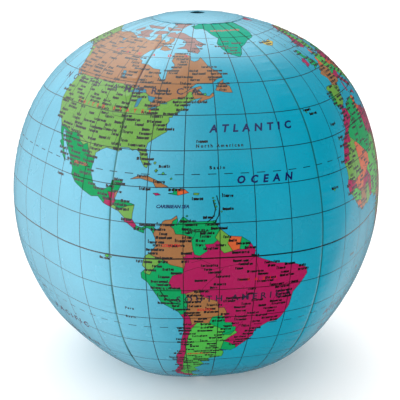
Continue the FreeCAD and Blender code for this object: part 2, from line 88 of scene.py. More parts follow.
LAND = {
    "canada": ("tan", """
        -156.5 71.3, -152 70.8, -148 70.4, -141 69.7, -137 69, -134 69.5, -130 70.1, -128 70.4,
        -124.5 70, -121 69.8, -115 68.9, -110.5 67.9, -106 68.8, -98 67.8, -96 68.3, -95.5 69.8,
        -96.3 71, -94.5 71.9, -92.5 70.5, -91.5 69.6, -90.5 68.5, -88 68.7, -86.5 67.4, -84.5 68.6,
        -85.3 69.6, -82 69.8, -81.3 68.6, -82.3 67.2, -84.5 66.3, -86.5 66, -88 64.3, -91 63.5,
        -93 62, -94.5 60.3, -94.8 58.9, -92.8 58.2, -92.3 57, -89 56.9, -85.5 55.4, -82.4 55.1,
        -82.2 53, -80.6 51.3, -79 51.4, -79.1 54.2, -76.8 55.6, -76.6 57.2, -78.4 58.8, -77.8 60.6,
        -78.1 62.3, -75 62.3, -71.6 61.3, -69.7 60.9, -69.5 59, -67.8 58.4, -65.9 58.9, -64.6 60.3,
        -62.8 58.4, -61.4 56.6, -59 55, -57 54, -55.8 52.6, -58.5 51.4, -60.2 50.2, -66.4 50.2,
        -69 48.4, -71.2 46.9, -68.8 48.3, -65 49.2, -64.4 48.4, -66 48, -64.8 47.2, -64.2 46.2,
        -61.8 45.8, -60.4 47, -59.9 46, -61.3 45.2, -63.8 44.5, -65.7 43.5, -66.1 44.3, -64.4 45.4,
        -67 44.9, -69 44, -70.6 43.2, -70.8 42.4, -70 41.7, -71.5 41.4, -73.6 40.9, -72 41,
        -74 40.4, -74.4 39.4, -75.4 39.4, -75.2 38.3, -76 37.2, -75.6 35.3, -77 34.6, -79 33.4,
        -81 32, -81.4 30.4, -80.6 28.2, -80.1 26.4, -80.5 25.2, -81.3 25.5, -82.7 27.6, -82.8 29.1,
        -84.1 30.1, -85.3 29.7, -86.5 30.4, -89 30.3, -89.4 29.1, -91.3 29.4, -93.7 29.7, -95.2 29,
        -97.2 27.7, -97.3 26, -97.8 22.5, -96.4 19.4, -94.5 18.2, -92 18.5, -90.6 19.6, -90.3 21.1,
        -87 21.5, -87.6 19.5, -88.4 17.6, -88.9 15.9, -86 15.9, -83.2 15, -83.6 12.6, -83.7 11,
        -82.4 9.2, -81 8.8, -79.7 9.6, -78 9.4, -77.4 8.6, -77.9 7.2, -78.4 8.3, -79.6 8.9,
        -80.3 8.3, -80.4 7.3, -81.6 7.7, -83 8.3, -84.8 9.7, -85.8 10.2, -85.9 11.2, -87.6 12.9,
        -90 13.7, -92.2 14.5, -94.2 16.1, -96.5 15.7, -99.5 16.7, -103.4 18.3, -105.5 20.3,
        -105.4 21.7, -108 25.1, -109.5 26.6, -111.2 28.1, -112.8 30, -113.2 31.3, -114.8 31.7,
        -114.5 30.2, -112.8 28.1, -111.2 25.7, -109.8 23.9, -109.5 22.9, -111.6 24.5, -112.3 26.2,
        -114.9 27.8, -114.2 28.6, -116 30.4, -117.1 32.5, -118.5 34, -120.6 34.6, -122 36.8,
        -123.8 39.2, -124.3 40.5, -124.5 42.8, -124 46.2, -124.6 48.3, -122.7 48, -123 49.1,
        -127.5 51, -128.4 53, -130.2 54.6, -132 56.2, -135 58, -138 59, -141 60, -146 60.8,
        -148.5 60, -151.7 59.2, -151 61, -153.8 59.3, -156.5 57.2, -161 55.2, -165 54.5,
        -161 56, -157.8 58, -162 58.7, -162.3 60, -165.5 61.3, -164.7 63.1, -161 63.7, -161.3 64.6,
        -166.4 64.7, -168 65.6, -162.3 66.5, -166.6 68.3, -162.5 69.9"""),
    "baffin": ("drab", """
        -80.5 73.7, -76 72.8, -71.3 71, -68 70.2, -66.8 68.8, -62 66.9, -64 65.2, -67.6 66.3,
        -64.7 63.3, -66 62, -70.5 62.8, -72.5 64.2, -78 64.5, -74 65.6, -73 68, -76.5 69.3,
        -81 70, -89 71, -88.5 73.3, -84.5 73.6, -82.5 72.3"""),
    "victoria": ("drab", """
        -116 69, -105 69, -101.6 69.6, -105 71, -105 73.4, -114 73.2, -118 71.6, -113 70.4"""),
    "banks": ("drab", "-125.4 72, -123 71.2, -117.4 73.2, -121.5 74.5"),
    "somerset": ("drab", "-102 71.7, -97 71.6, -94 72, -90.5 73, -91 74, -97 73.9, -102 73.2"),
    "devon": ("drab", "-96 76.8, -91 76.4, -80 75.6, -80.4 74.6, -92 74.8"),
    "melville": ("drab", "-122 76, -114 74.7, -106 75, -98 75, -98.5 76.6, -110 76.4, -117 76.4"),
    "ellesmere": ("drab", """
        -89.5 76.8, -80 76.2, -77.6 77.8, -74.6 79.2, -64.5 81.4, -61.5 82.4, -72 83.1, -86 82.2,
        -95.5 80.7, -91.5 79, -86.5 78.2"""),
    "southampton": ("tan", "-86.5 65.7, -84.5 65.4, -80.5 63.8, -84 63.2, -87 63.7"),
    "newfoundland": ("tan", "-59.3 47.8, -57.2 50.5, -55.6 51.5, -56 50, -53.6 49, -53 46.8, -55.6 47"),
    "vancouver": ("tan", "-128.2 50.7, -125.2 50.2, -123.4 48.5, -125.4 48.8"),
    "greenland": ("turquoise", """
        -72.8 78.2, -68.5 76.1, -61 76, -57.5 74.6, -55 72.2, -51.4 69.7, -53.8 67, -52 64.2,
        -49 61.6, -44.5 60, -42.6 61.4, -40.5 64.5, -37 65.8, -32 68, -25 69.4, -22.3 71.5,
        -20.6 74.2, -19.5 77, -18.5 79.6, -12.5 81.6, -24 82.6, -34 83.7, -48 82.6, -60 81.9,
        -66.5 80.4, -65.5 79.4"""),
    "iceland": ("yellow", """
        -24.2 65.5, -22.4 66.4, -20.2 65.7, -16 66.5, -13.7 65, -18.6 63.4, -22.6 63.9"""),
    "cuba": ("tan", """
        -84.9 21.9, -82.7 23, -80 23, -77 21.7, -74.2 20.2, -77.6 19.9, -78.4 21.3, -82 22.3"""),
    "hispaniola": ("orange", "-74.2 18.4, -72.7 18.6, -73 19.7, -69.8 19.6, -68.5 18.6, -71.4 17.9"),
    "jamaica": ("magenta", "-78.3 18.4, -77 18.5, -76.2 18, -77.5 17.8"),
    "puerto_rico": ("lime", "-67.2 18.5, -65.6 18.4, -65.9 17.9, -67.2 18"),
    "trinidad": ("lime", "-61.8 10.8, -60.9 10.8, -61.1 10.1, -61.9 10.1"),
    "falklands": ("emerald", "-61 -51.9, -57.9 -51.5, -58.8 -52.3"),
    "brazil": ("magenta", """
        -77.4 8.6, -76.6 8.2, -75.5 10.6, -74.8 11.1, -73.2 11.3, -71.7 12.4, -71.4 11,
        -71.8 9.6, -71 10.8, -70 12.1, -68.3 10.8, -66 10.6, -62 10.7, -61 9.6, -60 8.5,
        -57.5 6.3, -54 5.9, -51.8 4.4, -50.2 1.8, -50.6 0.2, -48.4 -0.8, -44.4 -2.6, -41.5 -2.9,
        -38.5 -3.7, -35.3 -5.3, -34.8 -7.4, -36.8 -10.7, -38.6 -13, -39.1 -17.6, -40.9 -21.6,
        -42 -22.9, -44.7 -23.2, -48.4 -25.8, -48.7 -28.3, -50.3 -30.4, -53.4 -33.8, -55 -34.9,
        -58.3 -34, -57.2 -35.8, -57.6 -38.1, -62.1 -39, -62.5 -40.9, -65 -41, -63.9 -42.6,
        -65.3 -44.6, -67.5 -46.2, -65.8 -47.5, -68.8 -50.2, -68.4 -52.4, -65.3 -54.7, -68 -55.7,
        -72 -54, -74.8 -51.8, -75.4 -48.5, -74.2 -46.5, -73 -43.8, -73.8 -41.7, -73.3 -38.8,
        -73.4 -37, -71.6 -33.2, -71.4 -30, -70.4 -25.5, -70.2 -20, -71.6 -17.4, -76.2 -14.2,
        -77.2 -12, -79.7 -7.3, -81.2 -6.1, -81.3 -4.5, -80 -3.1, -80.9 -2.1, -80.1 0.8, -78.8 1.6,
        -77.2 3.8, -77.4 6, -77.9 7.2"""),
    "africa": ("tan", """
        -5.9 35.8, -2 35.1, 1 36.5, 5 36.8, 10 37.3, 11 36.8, 10.1 34.2, 11.5 33.2, 15.2 32.3,
        18.5 30.4, 20.1 31, 20.2 32.5, 23 32.7, 25.5 31.6, 29 30.9, 32.4 31.3, 32.6 29.9, 34 27,
        35.6 24, 37.2 21, 38.5 18, 39.7 15.2, 43.1 12.6, 43.3 11.4, 45 10.5, 51.2 11.9, 50.8 9.4,
        48 4.5, 43.5 0.8, 40.3 -2.6, 38.9 -6, 40.5 -10.5, 40.6 -15, 37 -17.8, 34.9 -19.9,
        35.4 -23.6, 32.8 -26, 31.4 -29.3, 28 -33, 25.5 -34, 20 -34.8, 18.4 -33.9, 16.5 -28.6,
        14.5 -22.5, 11.8 -17.8, 13.6 -12.4, 12.2 -6, 9 -1.2, 9.7 2.5, 8.6 4.6, 6 4.3, 4.2 6.3,
        1.2 6.1, -2 4.8, -4.5 5.2, -7.6 4.4, -11.3 6.9, -13.2 8.8, -15 11, -16.8 12.4, -17.4 14.7,
        -16.2 16.8, -16.3 19.2, -17 21, -14.6 26.2, -12.9 27.8, -9.7 30, -9.7 31.5, -6.7 34"""),
    "madagascar": ("lime", """
        49.3 -12, 50.4 -15.6, 47.2 -25, 44 -24.8, 43.4 -21.8, 44.4 -16.3, 47.6 -14.8"""),
    "eurasia": ("lime", """
        -9.4 38.7, -8.8 41.8, -9.2 43.1, -7.8 43.7, -1.8 43.4, -1.2 45.8, -4.6 48, -1.6 48.7,
        -1.6 49.6, 0.2 49.6, 1.7 50.9, 4 51.8, 5 53.3, 8.3 53.8, 8.2 56.5, 10.5 57.7, 10.2 55.4,
        11 54, 14 54, 18.4 54.8, 21 55.3, 21.4 57.4, 24.2 57.2, 23.6 59.2, 29.8 59.9, 22.8 59.9,
        21.5 61.5, 25.2 64.9, 22 65.8, 17.3 61.4, 18.7 60, 16.5 57.3, 14.2 55.5, 12.6 56,
        11.2 59, 8 58.1, 5.4 59, 5 61.6, 9 63.5, 13 66.2, 16 68.6, 20 70, 26 71, 31 70.2,
        41 67.4, 39.5 66.2, 34.5 66.6, 35 64.4, 38 64, 43.5 66.3, 44 68.4, 54 68.4, 61 69,
        67.5 68.6, 67 71, 69.5 72.9, 73 71, 74.5 68.5, 78 72.3, 87 75, 98 76.2, 104 77.6,
        113 75.6, 113.5 73.6, 127 73, 131 71, 140 72.5, 152 70.9, 161 69.6, 170 70, 179 69,
        190 66.2, 184.5 64.8, 179 62.4, 170.5 60, 163.5 59.8, 162 55.5, 156.7 51, 156.2 57,
        163.3 62.2, 155 59.4, 143 59.3, 135.5 54.7, 141 53, 140.2 48.4, 135.5 44.3, 130.7 42.4,
        127.5 39.6, 129.5 36.6, 128.4 34.8, 126.4 34.6, 126.7 37.6, 124.8 39.7, 121.3 38.9,
        122 40.7, 117.8 38.8, 119 37.3, 122.4 37.1, 119.3 35, 121.8 31.9, 121.7 28.5, 119 25.3,
        116.5 23, 110.3 21.2, 108 21.6, 105.8 18.9, 109 15, 109.2 11.8, 104.8 8.6, 104.8 10.4,
        100.8 13.4, 99.2 10.4, 100.4 7.4, 103.4 4.5, 103.9 1.4, 101.2 3, 98.3 8, 98.7 12.5,
        97.4 16.6, 94.5 16, 92 21.5, 90.5 22.5, 87 21.4, 82.3 16.8, 80.2 15.4, 79.8 10.3,
        77.5 8.1, 74.6 13.9, 72.8 19.5, 70.8 20.8, 69 22.3, 66.8 25.2, 61.6 25.2, 57.2 25.8,
        56.4 27.1, 51.5 27.9, 49.8 30.1, 47.9 29.9, 50.2 26.5, 51.4 24.4, 54 24.2, 56.3 26.2,
        57 23.9, 59.7 22.5, 57.7 18.9, 52 15.6, 45 12.8, 43.3 12.7, 42.7 16.4, 39 21.3, 34.8 28.2,
        34.2 27.9, 32.6 29.9, 32.4 31.3, 34.4 31.4, 36 36.6, 32.5 36.1, 30.6 36.8, 28 36.7,
        26.3 39, 29.2 40.7, 31.5 41.2, 35 42, 41.5 41.5, 37.2 45, 39.2 47.1, 35 46.3, 36.4 45.2,
        33.6 44.5, 32.5 46, 30.7 46.4, 27.9 43, 29 41.2, 26.2 40.7, 23.4 40.4, 22.9 39.3, 24 37.8,
        23 36.5, 21.3 37.6, 19.5 41.5, 14.8 45.1, 13.6 45.6, 12.3 45.2, 12.4 44.1, 14.2 42.3,
        18.5 40.2, 16.9 40.4, 16 38, 15.7 40, 12.3 41.7, 10.3 43.5, 8.8 44.4, 6.5 43.2, 3.1 43.1,
        3.2 41.9, -0.3 39.4, -0.7 37.7, -2.2 36.7, -5.6 36, -7.4 37.1, -8.9 37"""),
    "britain": ("emerald", """
        -5.6 50.1, 1.3 51.1, 1.7 52.7, 0.2 53, -1.5 55, -3.1 56, -2 57.6, -3.1 58.6, -5 58.5,
        -6.2 56.8, -4.8 54.7, -3 54, -4.6 53, -5.2 51.8, -3 51.4"""),
    "ireland": ("magenta", "-10.2 51.7, -6.4 52.2, -5.5 54.5, -7.3 55.3, -10 54.2, -9 53.2"),
    "sicily": ("magenta", "12.5 38, 15.6 38.3, 15.1 36.7"),
    "sardinia": ("magenta", "8.4 39, 9.6 39.2, 9.4 42.9, 8.7 42.2, 8.3 40.8"),
    "novaya_zemlya": ("lime", "51.5 71.3, 57 70.8, 56 73.5, 68.5 76.8, 60 76, 54 73.6"),
    "svalbard": ("magenta", "11 79.2, 16.5 76.7, 27 79.8, 16 80"),
    "severnaya": ("lime", "95 79.2, 105 78.7, 97 81"),
    "siberian_isles": ("lime", "137.5 75.7, 143 73.3, 150 75.1, 143 76"),
    "sakhalin": ("lime", "142 46, 143.5 49.2, 142.9 54.3, 142 52"),
    "hokkaido": ("orange", "140 41.6, 143.3 42, 145.5 43.4, 141.8 45.4, 140.4 43.2"),
    "honshu": ("orange", """
        131 34.2, 135.7 33.5, 138.8 34.7, 140.8 35.7, 142 39.5, 141.3 41.4, 139.8 39.5,
        136.8 37.2, 136 35.7"""),
    "kyushu": ("orange", "130.3 31.2, 131.9 33.3, 134.6 33.9, 133 32.9, 131.5 31.4, 129.7 33.3"),
    "taiwan": ("emerald", "120.2 22.9, 121.9 25.1, 120.9 22"),
    "hainan": ("lime", "108.7 19, 110.5 20.1, 110 18.4"),
    "luzon": ("emerald", "120 16.2, 120.7 18.5, 122.2 18.4, 121.6 15.3, 124 12.7, 120.7 13.8"),
    "mindanao": ("emerald", "122 7, 125.4 9.8, 126.4 7.4, 125.5 5.7, 124 7.2"),
    "borneo": ("orange", """
        109 1.6, 111.5 2.6, 113.2 3.3, 116.7 7, 119.1 5.2, 117.6 3.3, 119 1, 116.4 -1.5, 116 -4,
        111.7 -3.4, 110 -1.4"""),
    "sumatra": ("yellow", "95.2 5.6, 97.6 5.2, 103.6 -0.9, 106 -3.1, 105.7 -5.8, 102.2 -4, 98.6 1.8"),
    "java": ("yellow", "105.2 -6.7, 110.8 -6.4, 114.5 -7.7, 114.4 -8.7, 108 -7.7"),
    "sulawesi": ("yellow", """
        119.4 -5.5, 120.5 -5.4, 121 -2.8, 122.5 -4.9, 121.6 -1.9, 123.3 -0.9, 120.1 -0.9,
        120.9 0.4, 125 1.6, 120.3 1.3, 119.2 -3.4"""),
    "timor": ("yellow", "119 -8.6, 122.9 -8.3, 127.2 -8.4, 123.7 -10.3"),
    "halmahera": ("yellow", "127.4 1.9, 128.6 1.2, 128 -0.8"),
    "new_guinea": ("yellow", """
        131 -0.8, 134.1 -0.8, 135 -3.3, 138 -1.7, 141 -2.6, 145.7 -5.4, 147.8 -6.2, 150.8 -10.4,
        146.4 -8.8, 143.4 -9, 141 -9.1, 137.7 -8.3, 138 -5.6, 133 -4, 132.3 -2.8"""),
    "new_britain": ("magenta", "148.4 -5.6, 152.1 -4.3, 150.4 -6.2"),
    "solomons": ("emerald", "155 -5.3, 161.5 -9.8, 160 -9.8, 155 -6.6"),
    "new_caledonia": ("orange", "164 -20.2, 167 -22.3, 166.2 -22.3"),
    "sri_lanka": ("emerald", "79.8 8.1, 80.3 9.6, 81.8 7.5, 80.5 6"),
    "australia": ("orange", """
        113.7 -23, 113.4 -26, 115.7 -32, 115.1 -34.3, 118 -35, 123.5 -33.9, 131 -31.5, 134 -32.8,
        135.7 -34.8, 137.8 -32.8, 138.2 -35.4, 140.5 -38, 146.4 -39, 150 -37.3, 151.4 -33.3,
        153.5 -28.5, 152.9 -25.2, 149.5 -22.3, 146.2 -18.8, 145.3 -15, 142.5 -10.8, 141.6 -14,
        140.8 -17.5, 135.5 -15, 136.8 -12.2, 132.6 -11.4, 130.3 -12.9, 129 -15, 126.5 -14,
        122.2 -17.9, 119 -20, 116.5 -20.7"""),
    "tasmania": ("orange", "144.7 -40.8, 148.3 -40.9, 147.2 -43.6, 145.6 -42.9"),
    "north_island": ("emerald", "172.7 -34.5, 175.6 -36.7, 178.5 -37.7, 175.3 -41.6, 173.8 -39.3"),
    "south_island": ("emerald", "172.7 -40.6, 174.3 -41.7, 171.2 -44.3, 168.6 -46.6, 166.5 -45.9"),
    "antarctica": ("ice", """
        -180 -78.4, -158 -78, -148 -76.2, -135 -74.6, -115 -73.8, -100 -72.6, -85 -73, -75 -72.8,
        -68 -69.5, -66 -66.2, -58 -63.3, -60.5 -66.5, -61.5 -71, -61 -75, -50 -77.8, -35 -78,
        -25 -75, -12 -71.8, 0 -70.2, 18 -70, 33 -68.7, 45 -67.6, 56 -66.5, 70 -69.5, 77 -69.3,
        88 -66.8, 110 -66.2, 135 -66.2, 150 -68.3, 170 -71.8, 164 -76, 166 -78, 180 -78.4,
        180 -94, -180 -94"""),
}

LAKES = {
    "superior": "-92 46.7, -88.6 48.4, -85.4 47.8, -84.8 46.8, -87.6 46.7",
    "michigan": "-87.7 41.9, -86.6 42.3, -85.7 45.3, -87.4 44.7",
    "huron": "-84.1 45.9, -81 45.4, -81.9 43.7, -83.2 44.3",
    "erie": "-83.2 41.7, -80.8 42.5, -79.3 42.8, -81.6 41.5",
    "ontario": "-79.4 43.4, -76.7 43.9, -76.7 43.4",
    "winnipeg": "-99 53.6, -97.3 53.6, -96.4 50.6, -98 51.4",
    "great_bear": "-124 66.6, -119 66.6, -120.5 65.2",
    "great_slave": "-116.5 61, -110 62.7, -114 62.2",
    "titicaca": "-69.8 -15.4, -68.8 -16.3, -69.3 -16.4",
    "victoria": "31.8 -0.6, 33.6 0.3, 34 -1.6, 32 -2.4",
    "tanganyika": "29.1 -3.5, 29.6 -4.4, 31 -8.7, 30 -7.4",
    "caspian": """47 44.6, 49 46.4, 53 46.6, 53 45, 50.6 44.4, 53 41.6, 53.8 37.2, 50.2 37.4,
        49.2 39.2, 49.6 40.4, 47.6 42.9""",
    "aral": "58.5 46, 61.4 46.2, 60 43.8, 58.6 44.3",
    "baikal": "103.8 51.6, 106 51.8, 110 55.6, 108.8 55.4, 105.5 52.3",
    "ladoga": "30.5 61.3, 32.6 61, 32 60, 31 60.1",
}

# States painted over the land, in order: a later one covers an earlier one, and their sides over
# the sea don't show. Each is its tint and its outline.

STATES = {
    "alaska": ("lime", """
        -141 71, -141 60.3, -137.4 59, -135 59.8, -130 56, -129.9 54.6, -134 53, -172 50, -172 73"""),
    "united_states": ("lime", """
        -123.3 49, -95.2 49, -94.6 48.7, -89.6 48, -84.8 46.6, -82.5 45.4, -82.4 43, -83.1 42.1,
        -79 42.8, -79.1 43.5, -76.4 44.2, -74.8 45, -71.5 45, -70.3 46, -69.2 47.4, -68 47.2,
        -67.8 45.7, -66.8 44.8, -65 42, -72 34, -78 24, -84 24, -97 25.9, -99.3 26.6, -101.3 29.8,
        -103 29, -104.8 29.8, -106.5 31.8, -108.2 31.7, -111.1 31.4, -114.8 32.5, -122 32, -132 40,
        -128 48.3"""),
    "mexico": ("emerald", """
        -97 25.9, -99.3 26.6, -101.3 29.8, -103 29, -104.8 29.8, -106.5 31.8, -108.2 31.7,
        -111.1 31.4, -114.8 32.5, -122 32, -110 15, -92.2 14, -91.8 16.1, -90.5 16.1, -91.2 17.8,
        -89.1 17.9, -88 18.6, -85 22, -90 24"""),
    "haiti": ("emerald", "-74.8 18, -71.7 17.6, -71.7 20.2, -74 20.2"),
    "guatemala": ("magenta", """
        -92.3 14, -91.8 16.1, -90.5 16.1, -91.2 17.8, -89.1 17.8, -88.2 15.7, -89.3 14.4, -90.2 13"""),
    "belize": ("tan", "-89.1 17.9, -87 19, -87 15.6, -89 15.9"),
    "honduras": ("emerald", """
        -88.6 15.7, -89.3 14.4, -87.6 13.2, -86.7 13.8, -85 14.6, -83 15, -83 17, -88 16.6"""),
    "salvador": ("lime", "-90.3 13, -90.1 13.8, -89.3 14.4, -87.6 13.7, -87.7 12.6"),
    "nicaragua": ("lime", "-87.9 12.7, -86.7 13.8, -85 14.6, -82.5 15, -83 10.9, -85.8 11.1, -87 11.6"),
    "costa_rica": ("magenta", "-86.2 11.2, -83.2 10.9, -82.5 9.6, -82.9 8, -84 7.6, -86.6 9.6"),
    "panama": ("emerald", "-82.5 9.7, -82.9 8, -81.7 6, -77.9 7.1, -77.3 8.7, -79 10.4"),
    "chile": ("magenta", "-69.5 -17.5, -66 -21, -66 -57, -78 -57, -78 -17.5"),
    "argentina": ("green", """
        -66.3 -21.8, -62.7 -22.1, -57.8 -25.2, -58.6 -27.2, -55.8 -27.4, -54.6 -25.6, -53.7 -26.6,
        -55.9 -28.3, -57.7 -30.2, -58.2 -33, -58.4 -34.3, -54 -36, -62 -57, -68.6 -57, -68.6 -52.6,
        -71.9 -51.8, -73.2 -49.2, -71.8 -46.5, -71.6 -43.5, -70.9 -38.6, -70.3 -36, -69.9 -32.5,
        -69 -27.5, -68.3 -24.6, -67 -22.8"""),
    "bolivia": ("tan", """
        -69.6 -11, -65.4 -9.7, -65.3 -11.9, -62 -13.4, -60.4 -13.9, -60.2 -16.3, -58.4 -16.3,
        -57.6 -18.2, -58.2 -19.8, -62 -20.4, -62.7 -22.1, -66.3 -21.8, -67.8 -22.8, -68.4 -19.6,
        -69.5 -17.5, -68.9 -15.6, -68.9 -12.6"""),
    "paraguay": ("emerald", """
        -62.3 -20.9, -61.7 -19.6, -59 -19.3, -58.1 -20.2, -57.9 -22.1, -55.7 -22.3, -55.4 -24,
        -54.3 -24.1, -54.6 -25.7, -55.9 -27.4, -58.6 -27.3, -57.8 -25.2, -62.7 -22.2"""),
    "uruguay": ("emerald", """
        -57.7 -30.2, -56 -30.9, -53.6 -32.6, -53.3 -34, -54 -36, -58.5 -34.6, -58.2 -33"""),
    "peru": ("emerald", """
        -80.3 -3.3, -80.4 -4.4, -79 -5, -77.9 -3, -75.4 -0.2, -73.5 -1.7, -70.1 -2.7, -70 -4.3,
        -72.9 -5.1, -74 -7.4, -73 -9.4, -70.6 -9.6, -70.6 -11, -69.6 -11, -68.9 -12.6, -69.1 -16,
        -69.5 -17.5, -70.4 -18.4, -74 -19, -84 -10, -84 -3.4"""),
    "ecuador": ("lime", """
        -78.9 1.4, -77.5 0.6, -75.3 -0.2, -77.9 -3, -79 -5, -80.4 -4.4, -80.3 -3.3, -83 -3, -82 1.4"""),
    "colombia": ("tan", """
        -78.9 1.4, -77.5 0.6, -75.4 -0.2, -73.5 -1.7, -70.1 -2.7, -70 -4.3, -69.4 -1, -70 0.6,
        -69.2 0.7, -69.8 1.7, -67.2 2, -66.9 1.2, -67.4 2.7, -67.8 5.6, -67.5 6.2, -70 7, -72 7.2,
        -72.5 8.6, -73.3 9.3, -72.7 10.9, -71.3 11.8, -71 13.6, -76.5 12.5, -77.4 8.7, -77.9 7.1,
        -80 6.5, -80 2"""),
    "venezuela": ("emerald", """
        -71.3 11.8, -72.7 10.9, -73.3 9.3, -72.5 8.6, -72 7.2, -70 7, -67.5 6.2, -67.8 5.6,
        -67.4 2.7, -66.9 1.2, -65.5 0.8, -63.4 2.2, -64.1 4.1, -61.9 4.2, -60.7 5.2, -61.3 6,
        -60.4 7.6, -59.8 8.4, -59 10.4, -63 12, -71 13.6"""),
    "guyana": ("lime", """
        -59.8 8.5, -60.4 7.6, -61.3 6, -60.7 5.2, -59.9 4.4, -59.8 2.4, -58.8 1.3, -56.5 1.9, -57.9 4.2,
        -57 6.6, -58.6 9"""),
    "suriname": ("orange", "-57 6.8, -57.9 4.2, -56.5 1.9, -54.6 2.4, -54.4 4.2, -53.9 7"),
    "guiana": ("emerald", "-53.9 7, -54.4 4.2, -54.6 2.3, -52.7 2.3, -51.4 4.4"),
    "morocco": ("magenta", "-13 27.7, -8.7 27.7, -8.7 28.8, -3.6 31, -1.2 32.2, -2 36, -5 37, -16 33"),
    "western_sahara": ("magenta", """
        -17.6 20.9, -13 21.3, -13 23, -12 23.5, -12 26, -8.7 26, -8.7 27.7, -15 28.4, -19 21"""),
    "algeria": ("emerald", """
        -8.7 27.3, -8.7 28.8, -3.6 31, -1.2 32.2, -2.2 36, 0 39, 8.6 38, 8.2 33.6, 9.5 30.3, 10 27,
        12 23.5, 5.8 19.4, 3.2 19, 1.2 21.1, -4.8 25"""),
    "tunisia": ("orange", "8.6 38, 8.2 33.6, 9.5 30.3, 11.5 33.2, 13 38"),
    "libya": ("magenta", "9.5 30.3, 11.5 33.2, 15 34, 25 33, 25 20, 24 19.5, 15 23.5, 12 23.5, 9.7 26"),
    "egypt": ("lime", "25 33, 34.3 31.4, 34.9 29.4, 38 22, 25 22"),
    "mauritania": ("lime", """
        -16.5 16.1, -12 14.8, -5.5 15.5, -6.5 25, -4.8 25, -8.7 27.3, -8.7 26, -12 26, -12 23.5, -13 23,
        -13 21.3, -17.6 20.9, -19 17"""),
    "mali": ("orange", """
        -4.8 25, 1.2 21.1, 4.3 19, 4.1 16.4, 0.2 15, -2 14.2, -4.3 13.2, -5.5 10.4, -8 10.3, -11.4 12.4,
        -12.2 14.8, -5.5 15.5, -6.5 25"""),
    "niger": ("green", """
        3.2 19, 5.8 19.4, 12 23.5, 15 23.5, 15.5 16.9, 13.5 13.7, 4 13.6, 3.6 11.7, 0.2 15, 4.1 16.4,
        4.3 19"""),
    "sudan": ("emerald", """
        25 22, 38 22, 38.6 18, 36.5 14.3, 34 10, 33 8, 34 4.2, 30.8 3.5, 27.4 5, 24 8.7, 22.9 11, 22 13,
        24 15.7, 24 20, 25 20"""),
    "ethiopia": ("orange", """
        38.6 18, 36.5 14.3, 34 10, 33 8, 36 4.4, 41.9 3.9, 45 5, 48 8, 43 11, 42.5 12.6, 41 16"""),
    "somalia": ("magenta", "42.5 11, 48 8, 45 5, 41.9 3.9, 41 -0.8, 41.5 -2, 45 -1, 53 12"),
    "kenya": ("green", "34 4.2, 36 4.4, 41.9 3.9, 41 -0.8, 41.5 -2, 39.2 -4.7, 34 -1"),
    "tanzania": ("magenta", "34 -1, 39.2 -4.7, 42 -8, 40.4 -10.5, 34.6 -11.5, 31 -8.5, 29.4 -6, 30.8 -1"),
    "congo_basin": ("emerald", """
        12.2 -5.8, 16.2 -5, 16 -2, 18.5 5, 22.4 4.1, 27.4 5, 30.8 3.5, 29.6 -1.3, 29.3 -4.4, 30.8 -8.3,
        28.7 -8.5, 28.4 -11.8, 29.8 -13.4, 27 -11.8, 24 -11, 21.8 -7.3, 16.6 -5.9"""),
    "gabon": ("lime", "8 -1, 9 2.2, 13.3 2.2, 14.4 1.3, 14.4 -1.9, 11.5 -2.3, 11 -4"),
    "congo": ("magenta", """
        11 -4, 11.5 -2.3, 14.4 -1.9, 14.4 1.3, 16 1.7, 16.2 3.5, 18.3 3.5, 16 -2, 16.2 -5, 12.5 -5"""),
    "central_africa": ("lime", """
        14.5 6, 16.2 3.5, 18.5 3.6, 22.4 4.1, 27.4 5, 24 8.7, 22.9 11, 18.9 8.9, 15.5 7.5"""),
    "nigeria": ("green", "2.7 6, 3.6 11.7, 4 13.6, 13.5 13.7, 14.2 12.5, 11.5 6.6, 8.8 4.5, 6 3"),
    "benin": ("magenta", "0.8 5, 0 11, 2.3 12.4, 3.6 11.7, 2.7 5"),
    "ghana": ("lime", "-3 4, -2.9 11, 0 11, 1.1 5"),
    "burkina": ("magenta", "-5.5 10.4, -2.9 11, 2.3 12.4, 0.2 15, -2 14.2, -4.3 13.2"),
    "liberia": ("orange", "-12 7, -10.3 8.4, -8.4 7.6, -7.5 4, -10 4"),
    "guinea": ("green", "-15.5 11, -13.7 12.6, -11.4 12.4, -8 10.2, -8.4 7.6, -10.3 8.4, -13.5 9"),
    "senegal": ("magenta", "-18 15, -16.5 16.2, -12.2 14.8, -11.4 12.4, -13.7 12.6, -18 12"),
    "zambia": ("green", """
        22 -13, 24 -13, 24 -11, 27 -11.8, 29.8 -13.4, 28.4 -11.8, 28.7 -8.5, 33 -9.6, 33 -14, 30.2 -15,
        27 -18, 23.4 -17.6, 22 -16.2"""),
    "mozambique": ("emerald", """
        41 -10.4, 34.6 -11.5, 35.8 -16, 33 -14, 30.2 -15, 33 -17, 32.5 -21, 31.3 -22.4, 32 -26.8,
        36 -27, 42 -14"""),
    "zimbabwe": ("magenta", "25.3 -17.8, 27 -18, 30.2 -15.6, 33 -16.5, 32.5 -21, 31.3 -22.4, 29.4 -22.2"),
    "botswana": ("orange", "20 -22, 21 -18.3, 25.3 -17.8, 29.4 -22.2, 26 -24.7, 23 -25.4, 20 -26.8"),
    "namibia": ("lime", "11 -17.2, 23.4 -17.6, 21 -18.3, 20 -22, 20 -28.4, 16.5 -28.6, 12 -28"),
    "south_africa": ("magenta", """
        16.4 -28.7, 20 -28.4, 20 -26.8, 23 -25.4, 26 -24.7, 29.4 -22.2, 31.3 -22.4, 32 -26.8, 34 -28,
        30 -37, 15 -37"""),
    "portugal": ("emerald", "-9.9 36.5, -7.4 36.8, -7 39.5, -6.7 41.9, -8.2 42.1, -10.5 42"),
    "france": ("tan", """
        -1.8 43.3, 1.5 42.5, 3.3 42.4, 6 42.6, 7.6 43.7, 7 45.9, 7.6 47.6, 8.2 49, 4.2 50, 2.5 51.2,
        0 50.3, -6 49.5, -4 44.5"""),
    "low_countries": ("orange", "2.5 51.3, 4.2 50, 6.2 49.5, 6.2 51.8, 7.1 53.7, 5 54"),
